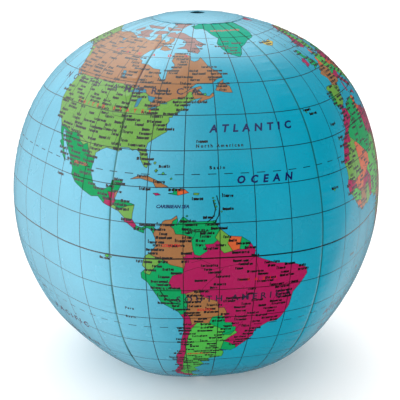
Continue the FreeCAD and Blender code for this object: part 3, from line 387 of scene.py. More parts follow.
    "germany": ("green", """
        6.2 49.5, 8.2 49, 7.6 47.6, 13 47.5, 12.2 50.3, 14.9 51, 14.2 54.5, 8.8 55, 7 54.5, 7.1 53.5,
        6.2 51.8"""),
    "denmark": ("orange", "7.5 54.9, 9.8 54.8, 12 54.4, 12.6 56.2, 10.6 58.4, 7.5 57"),
    "alps": ("emerald", "6.1 46.3, 7.6 47.6, 13 47.5, 13.8 48.8, 17 48.6, 16.3 46.8, 10.4 46.7, 9 45.9"),
    "italy": ("magenta", """
        7 45.9, 10.4 46.7, 13.7 46.5, 13.5 44.8, 15.5 43, 19 40.8, 16.5 36.5, 8 38, 7.5 43.7"""),
    "bohemia": ("orange", "12.2 50.3, 14.9 51, 22.5 49.1, 22 48.2, 17 48, 17 48.6, 13.8 48.8"),
    "poland": ("magenta", "14.2 54.5, 14.9 51, 18.8 49.5, 22.7 49.1, 23.5 54, 19.5 54.5, 17 55.4"),
    "hungary": ("tan", "16.3 46.8, 17 48, 22.5 48.2, 20.3 46.1"),
    "yugoslavia": ("green", """
        13.6 45.5, 13.7 46.5, 16.3 46.8, 20.3 46.1, 22.5 44.3, 22.9 42, 20.7 41, 19 41.6, 15 43"""),
    "bulgaria": ("orange", "22.9 42, 22.5 44.3, 29 43.8, 29 42, 26.3 41.8, 22.9 41.3"),
    "romania": ("magenta", "20.3 46.1, 22.5 48, 26.5 48.2, 28.2 45.5, 30.5 45, 29 43.8, 22.5 44.3"),
    "ukraine": ("tan", """
        22.5 48.1, 23.6 51.5, 31 52, 34.4 51.3, 40 49.7, 38.2 46.7, 36.6 45, 33 43.6, 30 45, 28.5 45.5,
        26.5 48.2"""),
    "baltics": ("emerald", "20 55, 23.5 54, 23.6 51.5, 31 52, 31 54.6, 28 56, 28 59.6, 22 60"),
    "norway": ("magenta", """
        11.2 58.7, 12.2 61, 14 65, 16 67.5, 20 69, 25.7 69.8, 29 69.2, 31.5 70.4, 26 73, 8 69, 2 62,
        4 57"""),
    "sweden": ("green", """
        11.2 58.7, 12.2 61, 14 65, 16 67.5, 20 69, 24 66, 20 63.3, 19.7 60, 19 57, 14 55, 11.5 55.7"""),
    "finland": ("tan", """
        20 69, 25.7 69.8, 29 69.2, 30 66, 31.5 62.8, 27.5 60.3, 22 59, 20 61, 21.2 63.8, 24 66"""),
    "turkey": ("orange", """
        25.6 40, 26.3 41.8, 28.5 42.4, 41.5 42, 44.8 39.7, 44.8 37.2, 36 36.6, 36 35, 29 35.5, 25.2 38.5"""),
    "iraq": ("tan", "42.4 37.1, 44.8 37.2, 45.5 34, 48 30.5, 47.5 29, 44.5 29.2, 38.8 32.2, 41 34.5"),
    "saudi_arabia": ("emerald", """
        34.4 29.4, 37 31.5, 39 32, 44.5 29.2, 47.5 29, 50.5 27, 51.5 24.2, 55 22.5, 55 20, 52 19, 47 17,
        41.5 16.4, 35 25"""),
    "yemen": ("magenta", "41 16.4, 47 17, 52 19, 54 16, 50 13, 43 11.5"),
    "iran": ("green", """
        44.5 39.7, 48.5 38.5, 49 37, 54 37.3, 57 38.2, 61 36.5, 61.6 25, 57 25, 50 28.6, 48 30.3,
        45.5 34, 44.8 37.2"""),
    "afghanistan": ("orange", "61 35.3, 64.5 37.2, 74.8 37.3, 69.5 33.5, 66.3 30, 61 29.5"),
    "pakistan": ("emerald", """
        61.8 24.8, 61 29.5, 66.3 30, 69.5 33.5, 71.3 36, 77.5 35.5, 74.5 31, 70 27.8, 71 24.4, 67 23"""),
    "india": ("magenta", """
        68 23.5, 71 24.4, 70 27.8, 74.5 31, 74.5 33.5, 77.5 35.5, 81 30.2, 88 27.9, 92 27, 97.4 28.2,
        94.7 25, 93 22.3, 89 21, 82 5, 70 9"""),
    "bangladesh": ("orange", "88.6 21, 88.2 24.5, 89 26, 92.3 25, 91.3 23.8, 92.5 20.8"),
    "burma": ("tan", """
        92.3 20.8, 93 22.3, 94.7 25, 97.4 28.2, 98.7 27.5, 97.8 24, 101 21.5, 98 18.5, 99 11.5, 97 10"""),
    "thailand": ("emerald", """
        98.5 15.5, 98 18.5, 100.3 20.2, 101 17.8, 104 18.2, 105.5 15, 102.6 12, 100.5 11, 102 6, 98 7,
        99.2 11.5"""),
    "indochina": ("magenta", """
        100.3 20.2, 102 22.3, 105 23.2, 108.2 21.5, 111 13, 105 8, 102.6 12, 105.5 15, 104 18.2,
        101 17.8"""),
    "china": ("tan", """
        73.7 39.5, 80.2 42.2, 82.5 45.3, 87.5 49, 91 47, 96 42.8, 105 41.6, 111.8 43.7, 116 46.5,
        119.8 46.7, 116.7 49.8, 120 53.2, 125.5 53, 130.8 48, 135 48.4, 131.3 44.9, 130.6 42.4,
        124.4 40, 122 36, 124 30, 118 22, 108.2 21.5, 105 23.2, 97.8 24, 98.7 27.5, 88 27.9, 81 30.2,
        77.5 35.5, 74.8 37.3"""),
    "mongolia": ("magenta", """
        87.5 49, 92 50.7, 98.5 52, 108 49.3, 116.7 49.8, 119.8 46.7, 116 46.5, 111.8 43.7, 105 41.6,
        96 42.8, 91 47"""),
    "kazakhstan": ("orange", """
        47 45, 47 48, 51 51, 61 50.7, 61.5 53.8, 70.5 55.2, 83 51, 87.5 49, 82.5 45.3, 80.2 42.2,
        70.8 42.2, 61 44.3, 56 41.3, 53 42, 50 44"""),
    "turkestan": ("green", """
        56 41.3, 61 44.3, 70.8 42.2, 80.2 42.2, 73.7 39.5, 74.8 37.3, 64.5 37.2, 61 35.3, 57 38.2,
        54 37.3, 53 42"""),
    "korea": ("emerald", "124 40, 130.8 42.4, 131 36, 129 34, 125 34"),
    "papua": ("green", "141 -2, 141 -10, 151 -12, 151 -5"),
}

# Islets: longitude, latitude and half width in degrees.
ISLETS = """
    -90.8 -0.5 0.7, -89.6 -0.6 0.3, -77.8 24.5 0.5, -75.8 23.8 0.4, -78.3 26.6 0.4, -73.5 22.4 0.3,
    -64.8 32.3 0.2, -61.8 17 0.25, -61.5 16.2 0.3, -61.3 15.4 0.25, -61 14.6 0.3, -61.1 13.8 0.2,
    -61.7 12.1 0.2, -59.5 13.2 0.25, -69 12.2 0.3, -28 38.6 0.3, -25.5 37.8 0.3, -17 32.7 0.25,
    -16.5 28.3 0.4, -14 28.4 0.3, -24.4 15.2 0.4, -7 62 0.35, -1.3 60.3 0.4, -63.3 46.4 0.5,
    -155.5 19.6 0.7, -157.9 21.4 0.3, -159.5 22 0.3, 178 -17.8 0.7, 167 -15.5 0.6, -149.5 -17.6 0.3,
    -172 -13.8 0.4, 55.5 -21.1 0.4, 57.6 -20.3 0.3, 43.3 -11.7 0.4, 70.2 -49.3 0.7, -36.5 -54.4 0.6,
    24.9 35.2 0.6, 33.2 35.1 0.6, 2.9 39.6 0.4, 92.8 12 0.4, 123.5 10.5 0.9, 118.4 9.6 0.5,
    149.3 -2.2 0.5, -109.4 -27.1 0.25, -5.7 -15.9 0.2, 144.8 13.5 0.3, 158.2 6.9 0.25, 73.4 4 0.25"""

# Bold lines on the map: the arc of the Antilles and the Andes.
RANGES = """
    -63.4 10.4, -61.6 12, -61.2 14, -61.8 16.4
    -61.4 10.2, -60.3 12.2, -60 14.6, -60.8 17.6
    -76.3 -10.2, -75 -12.6, -73 -14.2, -70.9 -14.6"""

RIVERS = """
    -73.5 -4.5, -70 -4, -66 -2.6, -63 -3.6, -60 -3.1, -57 -2.5, -54.5 -2.2, -52 -1.4, -50.5 -0.2
    -68.5 -12.5, -65 -10, -63.5 -8, -61 -5.5, -59 -3.3
    -67.8 -1.2, -65 -0.4, -62.5 -1.8, -60 -3.1
    -67.5 5.5, -66.5 7.8, -63.5 8, -61.5 8.6
    -49.3 -9, -49 -5.5, -49.8 -2
    -52 -17.5, -52.5 -22, -54.6 -25.6, -58.7 -27.4, -60.7 -32, -58.6 -34
    -45.5 -19.5, -44 -14, -41 -9.5, -38 -9.3, -36.6 -10.4
    -93.5 47, -91.2 43.5, -90.2 38.7, -89.2 36.8, -91 33.5, -91.4 31, -89.8 29.4
    -111 46, -104 47.5, -100.5 44.5, -96 41.5, -94.5 39, -90.2 38.7
    -106 38, -106.5 35, -106.4 31.8, -101.3 29.8, -99.3 27, -97.3 26
    -114 62, -121 62, -126 65.5, -134 68.5
    -135 61, -141 65, -150 66, -158 64, -164 62.8
    -10.5 9.5, -6 13.5, -3 16.7, 0 16.2, 3.5 11.8, 6.5 7, 6.2 4.5
    33 0.5, 31.5 3.5, 31 8, 32.5 15.5, 34 19.5, 31 21.5, 32.8 26, 31 30
    27 -11, 26 -3, 24 1.5, 20 1.8, 16.5 -2.5, 13 -5.9
    24 -12.5, 25.5 -17.8, 30 -15.6, 36 -18.5
    9.5 47.8, 8 50, 4.5 51.9
    10 48.5, 16.5 48.2, 19 46.5, 22.5 44.3, 28 44.3, 29.5 45.2
    34 56.5, 44 56.3, 49 55.5, 45 49, 47.8 46
    84 52, 76 60, 69.5 61.5, 66.5 66, 72 68
    94 52, 92 60, 87.5 66, 84 71
    106 54, 116 60, 129 62, 124 70, 127 73
    95 33.5, 99 27, 106 29.5, 112 30, 117 31.5, 121.5 31.7
    96 35, 104 36.5, 110 40.5, 110.5 35, 118.8 37.7
    79 30, 82 25.8, 88 24.3, 90.5 22.8
    82 31.5, 78 34.5, 73.5 34.5, 70.5 29, 67.6 24.2
    39 39.5, 41 35.5, 46 31, 48.3 30
    148.5 -36, 142.5 -34.3, 139.5 -35.5"""

# Inks as they print on the film, sRGB 0 to 255.
TINTS = {
    "ocean": (0, 155, 183),
    # painted sheen: a paler sea, mixed into the ocean where reflected studio light is painted
    "sea_sheen": (120, 201, 228),
    "lake": (0, 126, 156),
    "tan": (160, 106, 56),
    "drab": (144, 98, 90),
    "lime": (102, 162, 54),
    "emerald": (0, 156, 90),
    "green": (74, 182, 68),
    "magenta": (168, 0, 82),
    "orange": (212, 92, 36),
    "turquoise": (0, 166, 136),
    "yellow": (204, 180, 50),
    "ice": (196, 226, 238),
    "label": (10, 8, 14),
    "navy": (0, 16, 84),
    "title": (34, 26, 58),
    "red": (196, 26, 20),
}
# Share of the film's gloss that is left over these inks; the others leave all of it.
GLOSS = {"emerald": 0.2, "turquoise": 0.1, "green": 0.6, "magenta": 0.6}
# What these inks leave of the colour under them, and the order in which they cover each other,
# darkest on top. A seam has its own colours below: partly overlapping film, partly painted shade.
SHADES = {"rule": 0.13, "bold": 0.06, "border": 0.2, "river": 0.3, "seam": 0.38}
SEAM_OVERLAP_AND_SHADE_POWER = 2.3  # power that deepens land inks at a seam: partly film overlapping, partly painted shade of the groove
SEAM_SEA_OVERLAP_AND_SHADE = (0.2, 0.4, 0.33)  # what a seam leaves of the sea's red, green and blue: partly overlap, partly painted groove shade
SEA_GLOSS = 0.55  # gloss of the plain sea ink, as a share of its gloss where the most sheen is painted
# Painted sheen: how far the sea is lightened over the Pacific and the north, and its limit.
PACIFIC_SHEEN, NORTH_SHEEN, MOST_SHEEN = 0.72, 0.8, 0.8

RULE_WIDTH, BOLD_WIDTH, BORDER_WIDTH, RIVER_WIDTH, SEAM_WIDTH = 0.62, 1.05, 0.42, 0.36, 1.3
RANGE_WIDTH = 0.8
DASH = 4  # steps from one dash to the next
PRINT_STEP = 2.6  # longest edge of a printed line, in mm
DOMAIN_SCALE = 2.2  # mm to one degree of longitude where gores are triangulated
GORE_ROWS = 360  # rows of grid points from tip to tip

# Words: text, longitude, latitude, letter height in mm, letter spacing, ink.
WORDS = [
    ("ATLANTIC", -49.0, 35.9, 5.3, 1.86, "navy"),
    ("OCEAN", -46.9, 21.6, 5.1, 2.02, "navy"),
    ("North American", -59.4, 31.2, 2.2, 1.6, "label"),
    ("Basin", -60.4, 25.2, 2.2, 1.7, "label"),
    ("Peru", -85.5, -17.0, 2.0, 1.3, "label"),
    ("Basin", -85.5, -20.2, 2.0, 1.3, "label"),
    ("CARIBBEAN SEA", -72.9, 14.8, 2.3, 0.95, "navy"),
    ("ATLANTIC", -13.0, -26.0, 5.3, 1.4, "navy"),
    ("OCEAN", -13.0, -34.0, 5.1, 1.7, "navy"),
    ("NORTH AMERICA", -99.0, 47.4, 5.2, 2.5, "title"),
    ("SOUTH AMERICA", -55.6, -13.1, 5.2, 1.6, "title"),
    ("AFRICA", 17.5, 8.0, 7.0, 2.4, "title"),
    ("EUROPE", 22.0, 54.5, 5.0, 1.6, "title"),
    ("ASIA", 92.0, 46.0, 8.0, 3.6, "title"),
    ("AUSTRALIA", 133.5, -27.0, 5.5, 1.6, "title"),
    ("ANTARCTICA", 80.0, -75.0, 4.5, 2.0, "title"),
    ("PACIFIC", -160.0, 30.0, 6.0, 2.2, "navy"),
    ("OCEAN", -160.0, 17.0, 6.0, 2.2, "navy"),
    ("PACIFIC", -115.0, -30.0, 5.8, 1.8, "navy"),
    ("OCEAN", -115.0, -40.0, 5.8, 1.8, "navy"),
    ("INDIAN", 79.0, -22.0, 6.0, 2.0, "navy"),
    ("OCEAN", 79.0, -33.0, 6.0, 2.0, "navy"),
    ("ARCTIC OCEAN", 60.0, 80.0, 3.2, 1.6, "navy"),
    ("BRAZIL", -49.0, -7.2, 2.3, 3.0, "red"),
    ("UNITED STATES", -97.5, 40.9, 2.5, 2.9, "red"),
    ("CANADA", -93.0, 61.0, 2.6, 6.0, "red"),
    ("ARGENTINA", -65.8, -36.0, 2.0, 1.1, "red"),
    ("BOLIVIA", -64.0, -16.9, 2.0, 1.1, "red"),
    ("COLOMBIA", -73.2, 3.9, 2.0, 0.9, "red"),
    ("VENEZUELA", -66.0, 8.0, 2.0, 0.95, "label"),
    ("PERU", -75.6, -9.4, 2.0, 1.4, "label"),
    ("MEXICO", -102.5, 23.8, 2.1, 1.2, "red"),
    ("RUSSIA", 100.0, 62.0, 3.0, 5.5, "red"),
    ("CHINA", 104.0, 34.0, 3.0, 2.8, "red"),
    ("INDIA", 79.0, 21.5, 2.5, 1.5, "red"),
    ("GREENLAND", -41.0, 74.5, 2.4, 1.3, "red"),
]

CAPITAL_SIZE = 0.7  # height of a capital letter, as a share of the font's size
SLANT = 0.22  # of the names at sea
BOLDNESS = {"navy": 0.04, "title": 0.02, "label": 0.045, "red": 0.045}

# Strokes of made-up letters for the small place labels, which spell nothing: x, y to x, y.
GLYPHS = (
    ((0, 0, 0, 1), (0, 1, 0.8, 1), (0.8, 0, 0.8, 1)),
    ((0.3, 0, 0.3, 1),),
    ((0, 0, 0.8, 0), (0, 1, 0.8, 1), (0, 0, 0, 1), (0.8, 0, 0.8, 1)),
    ((0.1, 0, 0.1, 1.6),),
    ((0, 0, 0.8, 0), (0, 0, 0, 1), (0, 1, 0.8, 1), (0, 0.5, 0.8, 0.5)),
    ((0, 0, 0, 1), (0, 1, 0.6, 1)),
    ((0, 0, 0.8, 0), (0.8, 0, 0.8, 1), (0, 0, 0, 1)),
)
LABEL_ROWS, LABEL_SPACING = 3.0, 12.2  # distance between rows and along a row, in mm
LABEL_TRIES, SPARSE_SPACING = 26000, 1.8
# Place labels at sea: longitude and latitude.
SEA_LABELS = """
    -27 39, -25 37.6, -17 32.8, -15 28.4, -24 15.4, -64.6 32.2, -91.5 -1.6, -14 -8, -5.6 -16,
    -80.5 19.2, -66 16.6, -57.6 13.6, -63 11.4, -75.4 25.4, -57.6 17.2, -110.5 18.8, -128 -24"""
# Thinly settled parts, with fewer names: west, south, east and north sides in degrees.
SPARSE = (
    (-73, -14, -46, 3),
    (-135, 55, -58, 75),
    (60, 58, 179, 75),
    (-13, 16, 33, 28),
    (118, -30, 142, -18),
    (-60, 59, -18, 84),
)
GLYPH_PITCH, GLYPH_WIDTH, GLYPH_HEIGHT, GLYPH_STROKE = 1.12, 0.72, 1.15, 0.7
CAPITAL = 1.35  # a name's first letter, as a share of the others' height


def linear(rgb):
    """Linear RGBA of an sRGB colour given 0 to 255."""
    parts = [c / 255 for c in rgb]
    return [p / 12.92 if p <= 0.04045 else ((p + 0.055) / 1.055) ** 2.4 for p in parts] + [1.0]


# The meridian, measured along the film from the equator: north is positive.


def upper_shoulder_radius():
    """The radius that joins the side arc to the crown."""
    left = EQUATOR_RADIUS - SIDE_ARC * (1 - math.cos(SIDE_ANGLE)) - CROWN * math.cos(CROWN_ANGLE)
    return left / (math.cos(SIDE_ANGLE) - math.cos(CROWN_ANGLE))


def arcs_from_equator(spans, height):
    """Start distance, radius, start angle, centre radius and centre height of arcs in a row."""
    rows = []
    r, z, gone = EQUATOR_RADIUS, height, 0.0
    for radius, start, end in spans:
        cr, cz = r - radius * math.cos(start), z - radius * math.sin(start)
        rows.append((gone, radius, start, cr, cz))
        gone += radius * abs(end - start)
        r, z = cr + radius * math.cos(end), cz + radius * math.sin(end)
    return rows, gone, r


EQUATOR_HEIGHT = WALL + (
    FOOT_BLEND * (1 - math.sin(LOWER_ANGLE))
    + LOWER_SHOULDER * (math.sin(LOWER_ANGLE) - math.sin(SIDE_ANGLE))
    + SIDE_ARC * math.sin(SIDE_ANGLE)
)
UP_SPANS = (
    (SIDE_ARC, 0.0, SIDE_ANGLE),
    (upper_shoulder_radius(), SIDE_ANGLE, CROWN_ANGLE),
    (CROWN, CROWN_ANGLE, math.pi / 2),
)
DOWN_SPANS = (
    (SIDE_ARC, 0.0, -SIDE_ANGLE),
    (LOWER_SHOULDER, -SIDE_ANGLE, -LOWER_ANGLE),
    (FOOT_BLEND, -LOWER_ANGLE, -math.pi / 2),
)
UP_ARCS, NORTH_LENGTH, _ = arcs_from_equator(UP_SPANS, EQUATOR_HEIGHT)
DOWN_ARCS, FOOT_DISTANCE, FOOT_RADIUS = arcs_from_equator(DOWN_SPANS, EQUATOR_HEIGHT)
SOUTH_LENGTH = FOOT_DISTANCE + FOOT_RADIUS


def meridian(s):
    """Radius, height and normal angle of the film at distances s north of the equator."""
    s = np.asarray(s, float)
    r, z, angle = (np.zeros_like(s) for _ in range(3))
    for arcs, sign in ((UP_ARCS, 1.0), (DOWN_ARCS, -1.0)):
        for gone, radius, start, cr, cz in arcs:
            part = (s * sign >= gone) if gone else (s * sign >= 0)
            turn = start + sign * (s * sign - gone) / radius
            r = np.where(part, cr + radius * np.cos(turn), r)
            z = np.where(part, cz + radius * np.sin(turn), z)
            angle = np.where(part, turn, angle)
    flat = -s > FOOT_DISTANCE
    r = np.where(flat, SOUTH_LENGTH + s, r)
    z = np.where(flat, WALL, z)
    angle = np.where(flat, -math.pi / 2, angle)
    return r, z, angle


def along(latitude):
    """Distance north of the equator at which the print shows a latitude."""
    latitude = np.asarray(latitude, float)
    north, south = NORTH_SPREAD * NORTH_LENGTH, SOUTH_SPREAD * SOUTH_LENGTH
    return latitude / 90 * np.where(latitude > 0, north, south)


def smooth(low, high, x):
    """A smooth step from 0 at low to 1 at high, whichever is larger."""
    t = np.clip((x - low) / (high - low), 0, 1)
    return t * t * (3 - 2 * t)


def relief(lon, s, r):
    """How far the film stands proud of the plain shape, in mm: grooves, puckers and swell."""
    seam = np.round((lon - FIRST_SEAM) / GORE_DEGREES)
    away = (lon - FIRST_SEAM) - seam * GORE_DEGREES
    side = np.sign(away)
    seam = np.mod(seam, 6)
    gap = np.radians(np.abs(away)) * r
    groove = -GROOVE_DEPTH * np.exp(-((gap / GROOVE_WIDTH) ** 2))
    phase = 2 * math.pi * s / PUCKER_PITCH + 1.7 * seam + 0.9 * side
    phase = phase + 1.5 * np.sin(s / 11.0 + seam) + 0.9 * np.sin(s / 4.7 + 2 * side)
    strength = 0.5 + 0.5 * np.sin(s / 17.0 + 2.1 * seam + side) * np.sin(s / 43.0 + 1.3 * seam)
    wave = np.cos(phase) + 0.35 * np.cos(2 * phase)
    reach = np.exp(-gap / PUCKER_REACH) * smooth(0.0, 3.0, gap)
    pucker = PUCKER_HEIGHT * strength * wave * reach
    swell = SWELL_HEIGHT * np.sin(s / 9.5 + 2.0 * np.sin(lon / 7.0)) * np.sin(np.radians(lon) * 17.0)
    high = smooth(CAP_RADIUS, CAP_RADIUS + 14, r)
    low = smooth(FOOT_RADIUS - 1, FOOT_RADIUS + 17, r)
    return (groove + pucker + swell) * np.where(s > 0, high, low)


def surface(lon, s, lift=0.0):
    """Points on the film's outer surface, in metres, lifted off it by some mm."""
    r, z, angle = meridian(s)
    bulge = 1 + SEAM_CORNER * np.cos(np.radians(6 * (lon - FIRST_SEAM)))
    proud = relief(lon, s, r) + lift
    r = r * bulge + proud * np.cos(angle)
    z = z + proud * np.sin(angle)
    turn = np.radians(lon - FIRST_SEAM)
    return np.stack([r * np.cos(turn), r * np.sin(turn), z], axis=-1) * MM


def normals(lon, s, lift=0.0):
    """Unit normals of the same surface, by small differences kept inside the gore."""
    r = np.maximum(meridian(s)[0], 1.0)
    step = 0.15
    dl = np.degrees(step / r)
    east = surface(lon + dl, s, lift) - surface(lon - dl, s, lift)
    north = surface(lon, s + step, lift) - surface(lon, s - step, lift)
    n = np.cross(east, north)
    return n / np.maximum(np.linalg.norm(n, axis=1, keepdims=True), 1e-12)


# Printed shapes. Each is (order, kind, ink, points), with points as longitude and distance.


def outline(text):
    """Points of an outline written as longitude and latitude pairs."""
    pairs = [pair.split() for pair in text.replace("\n", " ").split(",")]
    lon = np.array([float(p[0]) for p in pairs])
    return np.stack([lon, along([float(p[1]) for p in pairs])], axis=-1)


def divided(points, closed=True):
    """The same line with no edge longer than PRINT_STEP."""
    ends = np.roll(points, -1, axis=0) if closed else points[1:]
    made = []
    for a, b in zip(points, ends):
        length = math.hypot((b[0] - a[0]) * DOMAIN_SCALE, b[1] - a[1])
        count = max(1, math.ceil(length / PRINT_STEP))
        made += [a + (b - a) * i / count for i in range(count)]
    if not closed:
        made.append(points[-1])
    return np.array(made)


def degrees_per_mm(s):
    """Degrees of longitude in one mm along a parallel, limited near the poles."""
    return np.degrees(1 / np.maximum(meridian(s)[0], 8.0))


def strokes(points, width, closed=True):
    """Thin quads along a line, of a width in mm on the film."""
    ends = np.roll(points, -1, axis=0) if closed else points[1:]
    starts = points if closed else points[:-1]
    per_mm = degrees_per_mm((starts[:, 1] + ends[:, 1]) / 2)
    along_mm = np.stack([(ends[:, 0] - starts[:, 0]) / per_mm, ends[:, 1] - starts[:, 1]], -1)
    length = np.maximum(np.linalg.norm(along_mm, axis=1, keepdims=True), 1e-6)
    unit = along_mm / length
    half = width / 2
    over = np.stack([unit[:, 0] * per_mm, unit[:, 1]], -1) * half * 0.4
    across = np.stack([-unit[:, 1] * per_mm, unit[:, 0]], -1) * half
    a, b = starts - over, ends + over
    return [np.array(q) for q in zip(a - across, b - across, b + across, a + across)]


def map_shapes():
    """Land, lakes, states, borders, coasts and rivers."""
    shapes = []
    for order, (tint, text) in enumerate(LAND.values()):
        points = divided(outline(text))
        shapes.append((order, "land", tint, points))
        shapes += [(0, "coast", "border", q) for q in strokes(points, BORDER_WIDTH)]
    for text in LAKES.values():
        points = divided(outline(text))
        shapes.append((0, "lake", "ocean", points))
        shapes += [(0, "coast", "border", q) for q in strokes(points, BORDER_WIDTH * 0.8)]
    for order, (tint, text) in enumerate(STATES.values()):
        points = divided(outline(text))
        shapes.append((order, "state", tint, points))
        shapes += [(order, "border", "border", q) for q in strokes(points, BORDER_WIDTH)]
    numbers = [float(n) for n in ISLETS.replace(",", " ").split()]
    for lon, lat, half in zip(numbers[::3], numbers[1::3], numbers[2::3]):
        ring = [(lon - half, lat), (lon, lat - half), (lon + half, lat + 0.2 * half), (lon, lat + half)]
        text = ", ".join(f"{x} {y}" for x, y in ring)
        shapes.append((0, "land", "green", divided(outline(text))))
        shapes += [(0, "coast", "border", q) for q in strokes(outline(text), BORDER_WIDTH)]
    for line in RIVERS.strip().splitlines():
        points = divided(outline(line), closed=False)
        shapes += [(0, "over", "river", q) for q in strokes(points, RIVER_WIDTH, closed=False)]
    for line in RANGES.strip().splitlines():
        shapes += rule_line(outline(line), RANGE_WIDTH, "bold")
    return shapes


def rule_line(points, width, ink, dash=None):
    """A printed line, whole or dashed."""
    quads = strokes(divided(points, closed=False), width, closed=False)
    if dash:
        quads = [q for i, q in enumerate(quads) if i % dash < dash / 2]
    return [(0, "over", ink, q) for q in quads]


def graticule():
    """Meridians and parallels each ten degrees, with a bold equator and dashed circles."""
    shapes = []
    low, high = along(-80.0), NORTH_LENGTH - CAP_RADIUS
    for lon in range(-180, 180, 10):
        at_seam = (lon - FIRST_SEAM) % GORE_DEGREES == 0
        # a line down each seam in its darker colours: partly overlapping film, partly painted shade of its
        # groove
        width, ink = (SEAM_WIDTH, "seam") if at_seam else (RULE_WIDTH, "rule")
        shapes += rule_line(np.array([(lon, low), (lon, high)]), width, ink)
    for lat in range(-80, 81, 10):
        s = float(along(lat))
        width, ink = (BOLD_WIDTH, "bold") if lat == 0 else (RULE_WIDTH, "rule")
        shapes += rule_line(np.array([(-181.0, s), (181.0, s)]), width, ink)
    for lat in (-66.5, -23.5, 23.5, 66.5):
        s = float(along(lat))
        shapes += rule_line(np.array([(-181.0, s), (181.0, s)]), RULE_WIDTH, "rule", dash=DASH)
    return shapes


def word_shapes(text, lon, lat, height, spacing, ink):
    """The filled letters of one word, laid along its parallel."""
    curve = bpy.data.curves.new("word", "FONT")
    curve.body, curve.size, curve.space_character = text, height / CAPITAL_SIZE, spacing
    curve.align_x, curve.align_y, curve.resolution_u = "CENTER", "CENTER", 2
    curve.shear = SLANT if ink == "navy" else 0.0
    curve.offset = BOLDNESS[ink] * curve.size
    letter = bpy.data.objects.new("word", curve)
    bpy.context.scene.collection.objects.link(letter)
    mesh = bpy.data.meshes.new_from_object(letter)
    s = float(along(lat))
    per_mm = float(degrees_per_mm(s))
    at = np.array([(v.co.x * per_mm + lon, v.co.y + s) for v in mesh.vertices])
    shapes = [(0, "over", ink, at[list(p.vertices)]) for p in mesh.polygons]
    bpy.data.objects.remove(letter)
    bpy.data.curves.remove(curve)
    bpy.data.meshes.remove(mesh)
    return shapes


def label(rng, lon, s, letters):
    """One greeked place name, laid along its parallel."""
    per_mm = float(degrees_per_mm(s))
    shapes = []
    for i in range(letters):
        x0 = (i - letters / 2) * GLYPH_PITCH
        tall = CAPITAL if i == 0 else 1.0
        for stroke in rng.choice(GLYPHS):
            corners = (stroke[:2], stroke[2:])
            ends = [(x0 + x * GLYPH_WIDTH, y * GLYPH_HEIGHT * tall) for x, y in corners]
            line = np.array([(lon + x * per_mm, s + y) for x, y in ends])
            shapes += [(0, "over", "label", q) for q in strokes(line, GLYPH_STROKE, closed=False)]
    return shapes


def inside(points, x, y):
    """Whether x, y is inside a closed outline, by counting crossings."""
    x0, y0 = points[:, 0], points[:, 1]
    x1, y1 = np.roll(x0, -1), np.roll(y0, -1)
    spans = (y0 > y) != (y1 > y)
    rise = np.where(spans, y1 - y0, 1.0)
    return bool(np.count_nonzero(spans & (x < x0 + (y - y0) * (x1 - x0) / rise)) % 2)


def place_labels():
    """Greeked names scattered over the land, spaced along each row."""
    rng = random.Random(11)
    lands = [outline(text) for name, (_, text) in LAND.items() if name != "antarctica"]
    boxes = [(*p.min(axis=0), *p.max(axis=0)) for p in lands]
    shapes, rows = [], {}
    for pair in SEA_LABELS.split(","):
        lon, lat = (float(n) for n in pair.split())
        shapes += label(rng, lon, float(along(lat)), 7)
    for _ in range(LABEL_TRIES):
        lon, lat = rng.uniform(-170, 179), rng.uniform(-50, 68)
        row = round(float(along(lat)) / LABEL_ROWS)
        s = row * LABEL_ROWS
        mm_per_degree = float(meridian(s)[0]) / 57.3
        taken = rows.setdefault(row, [])
        wide = SPARSE_SPACING if any(w < lon < e and d < lat < u for w, d, e, u in SPARSE) else 1.0
        if any(abs(lon - a) * mm_per_degree < LABEL_SPACING * wide for a in taken):
            continue
        near = [p for p, (w, d, e, u) in zip(lands, boxes) if w < lon < e and d < s < u]
        if any(inside(p, lon, s) for p in near):
            taken.append(lon)
            shapes += label(rng, lon, s + rng.uniform(-0.5, 0.5), rng.randint(5, 11))
    return shapes


# Gores: the shapes and a grid of points are triangulated together, then laid on the surface.

FIRST_COLUMN, COLUMN_GROWTH, LAST_COLUMN = 0.45, 1.22, 3.2
WIDEST_HALF = 82.0  # past half a gore's width at the equator, in mm
FINE_BESIDE_SEAM = 11.0  # farther from a seam every second row is left out
CLEAR_OF_MIDDLE = 0.6


def column_gaps():
    """Distances from a seam, in mm, of the grid's columns: close together near the seam."""
    gaps, gap, step = [], 0.0, FIRST_COLUMN
    while gap < WIDEST_HALF:
        gap += step
        gaps.append(gap)
        step = min(step * COLUMN_GROWTH, LAST_COLUMN)
    return gaps


def grid_points(middle, rows):
    """Grid points inside a gore, finer beside its seams."""
    points = []
    for i, s in enumerate(rows):
        per_mm = float(degrees_per_mm(s))
        half = GORE_DEGREES / 2
        for gap in column_gaps():
            if gap > FINE_BESIDE_SEAM and i % 2:
                break
            x = half - gap * per_mm
            if x < CLEAR_OF_MIDDLE * per_mm:
                break
            points += [(middle - x, s), (middle + x, s)]
    return points


def shifted(shapes, middle):
    """The shapes that reach a gore, turned by whole turns to its longitudes."""
    kept = []
    half = GORE_DEGREES / 2
    for order, kind, ink, points in shapes:
        for turn in (-360.0, 0.0, 360.0):
            low, high = points[:, 0].min() + turn, points[:, 0].max() + turn
            if high > middle - half and low < middle + half:
                kept.append((order, kind, ink, points + (turn, 0.0)))
    return kept


def face_ink(found, shapes):
    """The ink that shows where a face lies in these shapes, and how much it is darkened."""
    land, state, lake, shade, over = None, None, False, 1.0, None
    edges = []
    for i in found:
        order, kind, ink, _ = shapes[i]
        if kind == "land":
            land = max(land or (-1, ""), (order, ink))
        elif kind == "state":
            state = max(state or (-1, ""), (order, ink))
        elif kind == "lake":
            lake = True
        elif kind in ("coast", "border"):
            edges.append((kind, order))
        elif ink in SHADES:
            shade = min(shade, SHADES[ink])
        else:
            over = ink
    if over:
        return over, 1.0
    dry = land and not lake
    for kind, order in edges:
        if kind == "coast" or (dry and order >= (state or (-1, ""))[0]):
            shade = min(shade, SHADES["border"])
    if dry:
        return (state or land)[1], shade
    return ("lake" if lake and land else "ocean"), shade


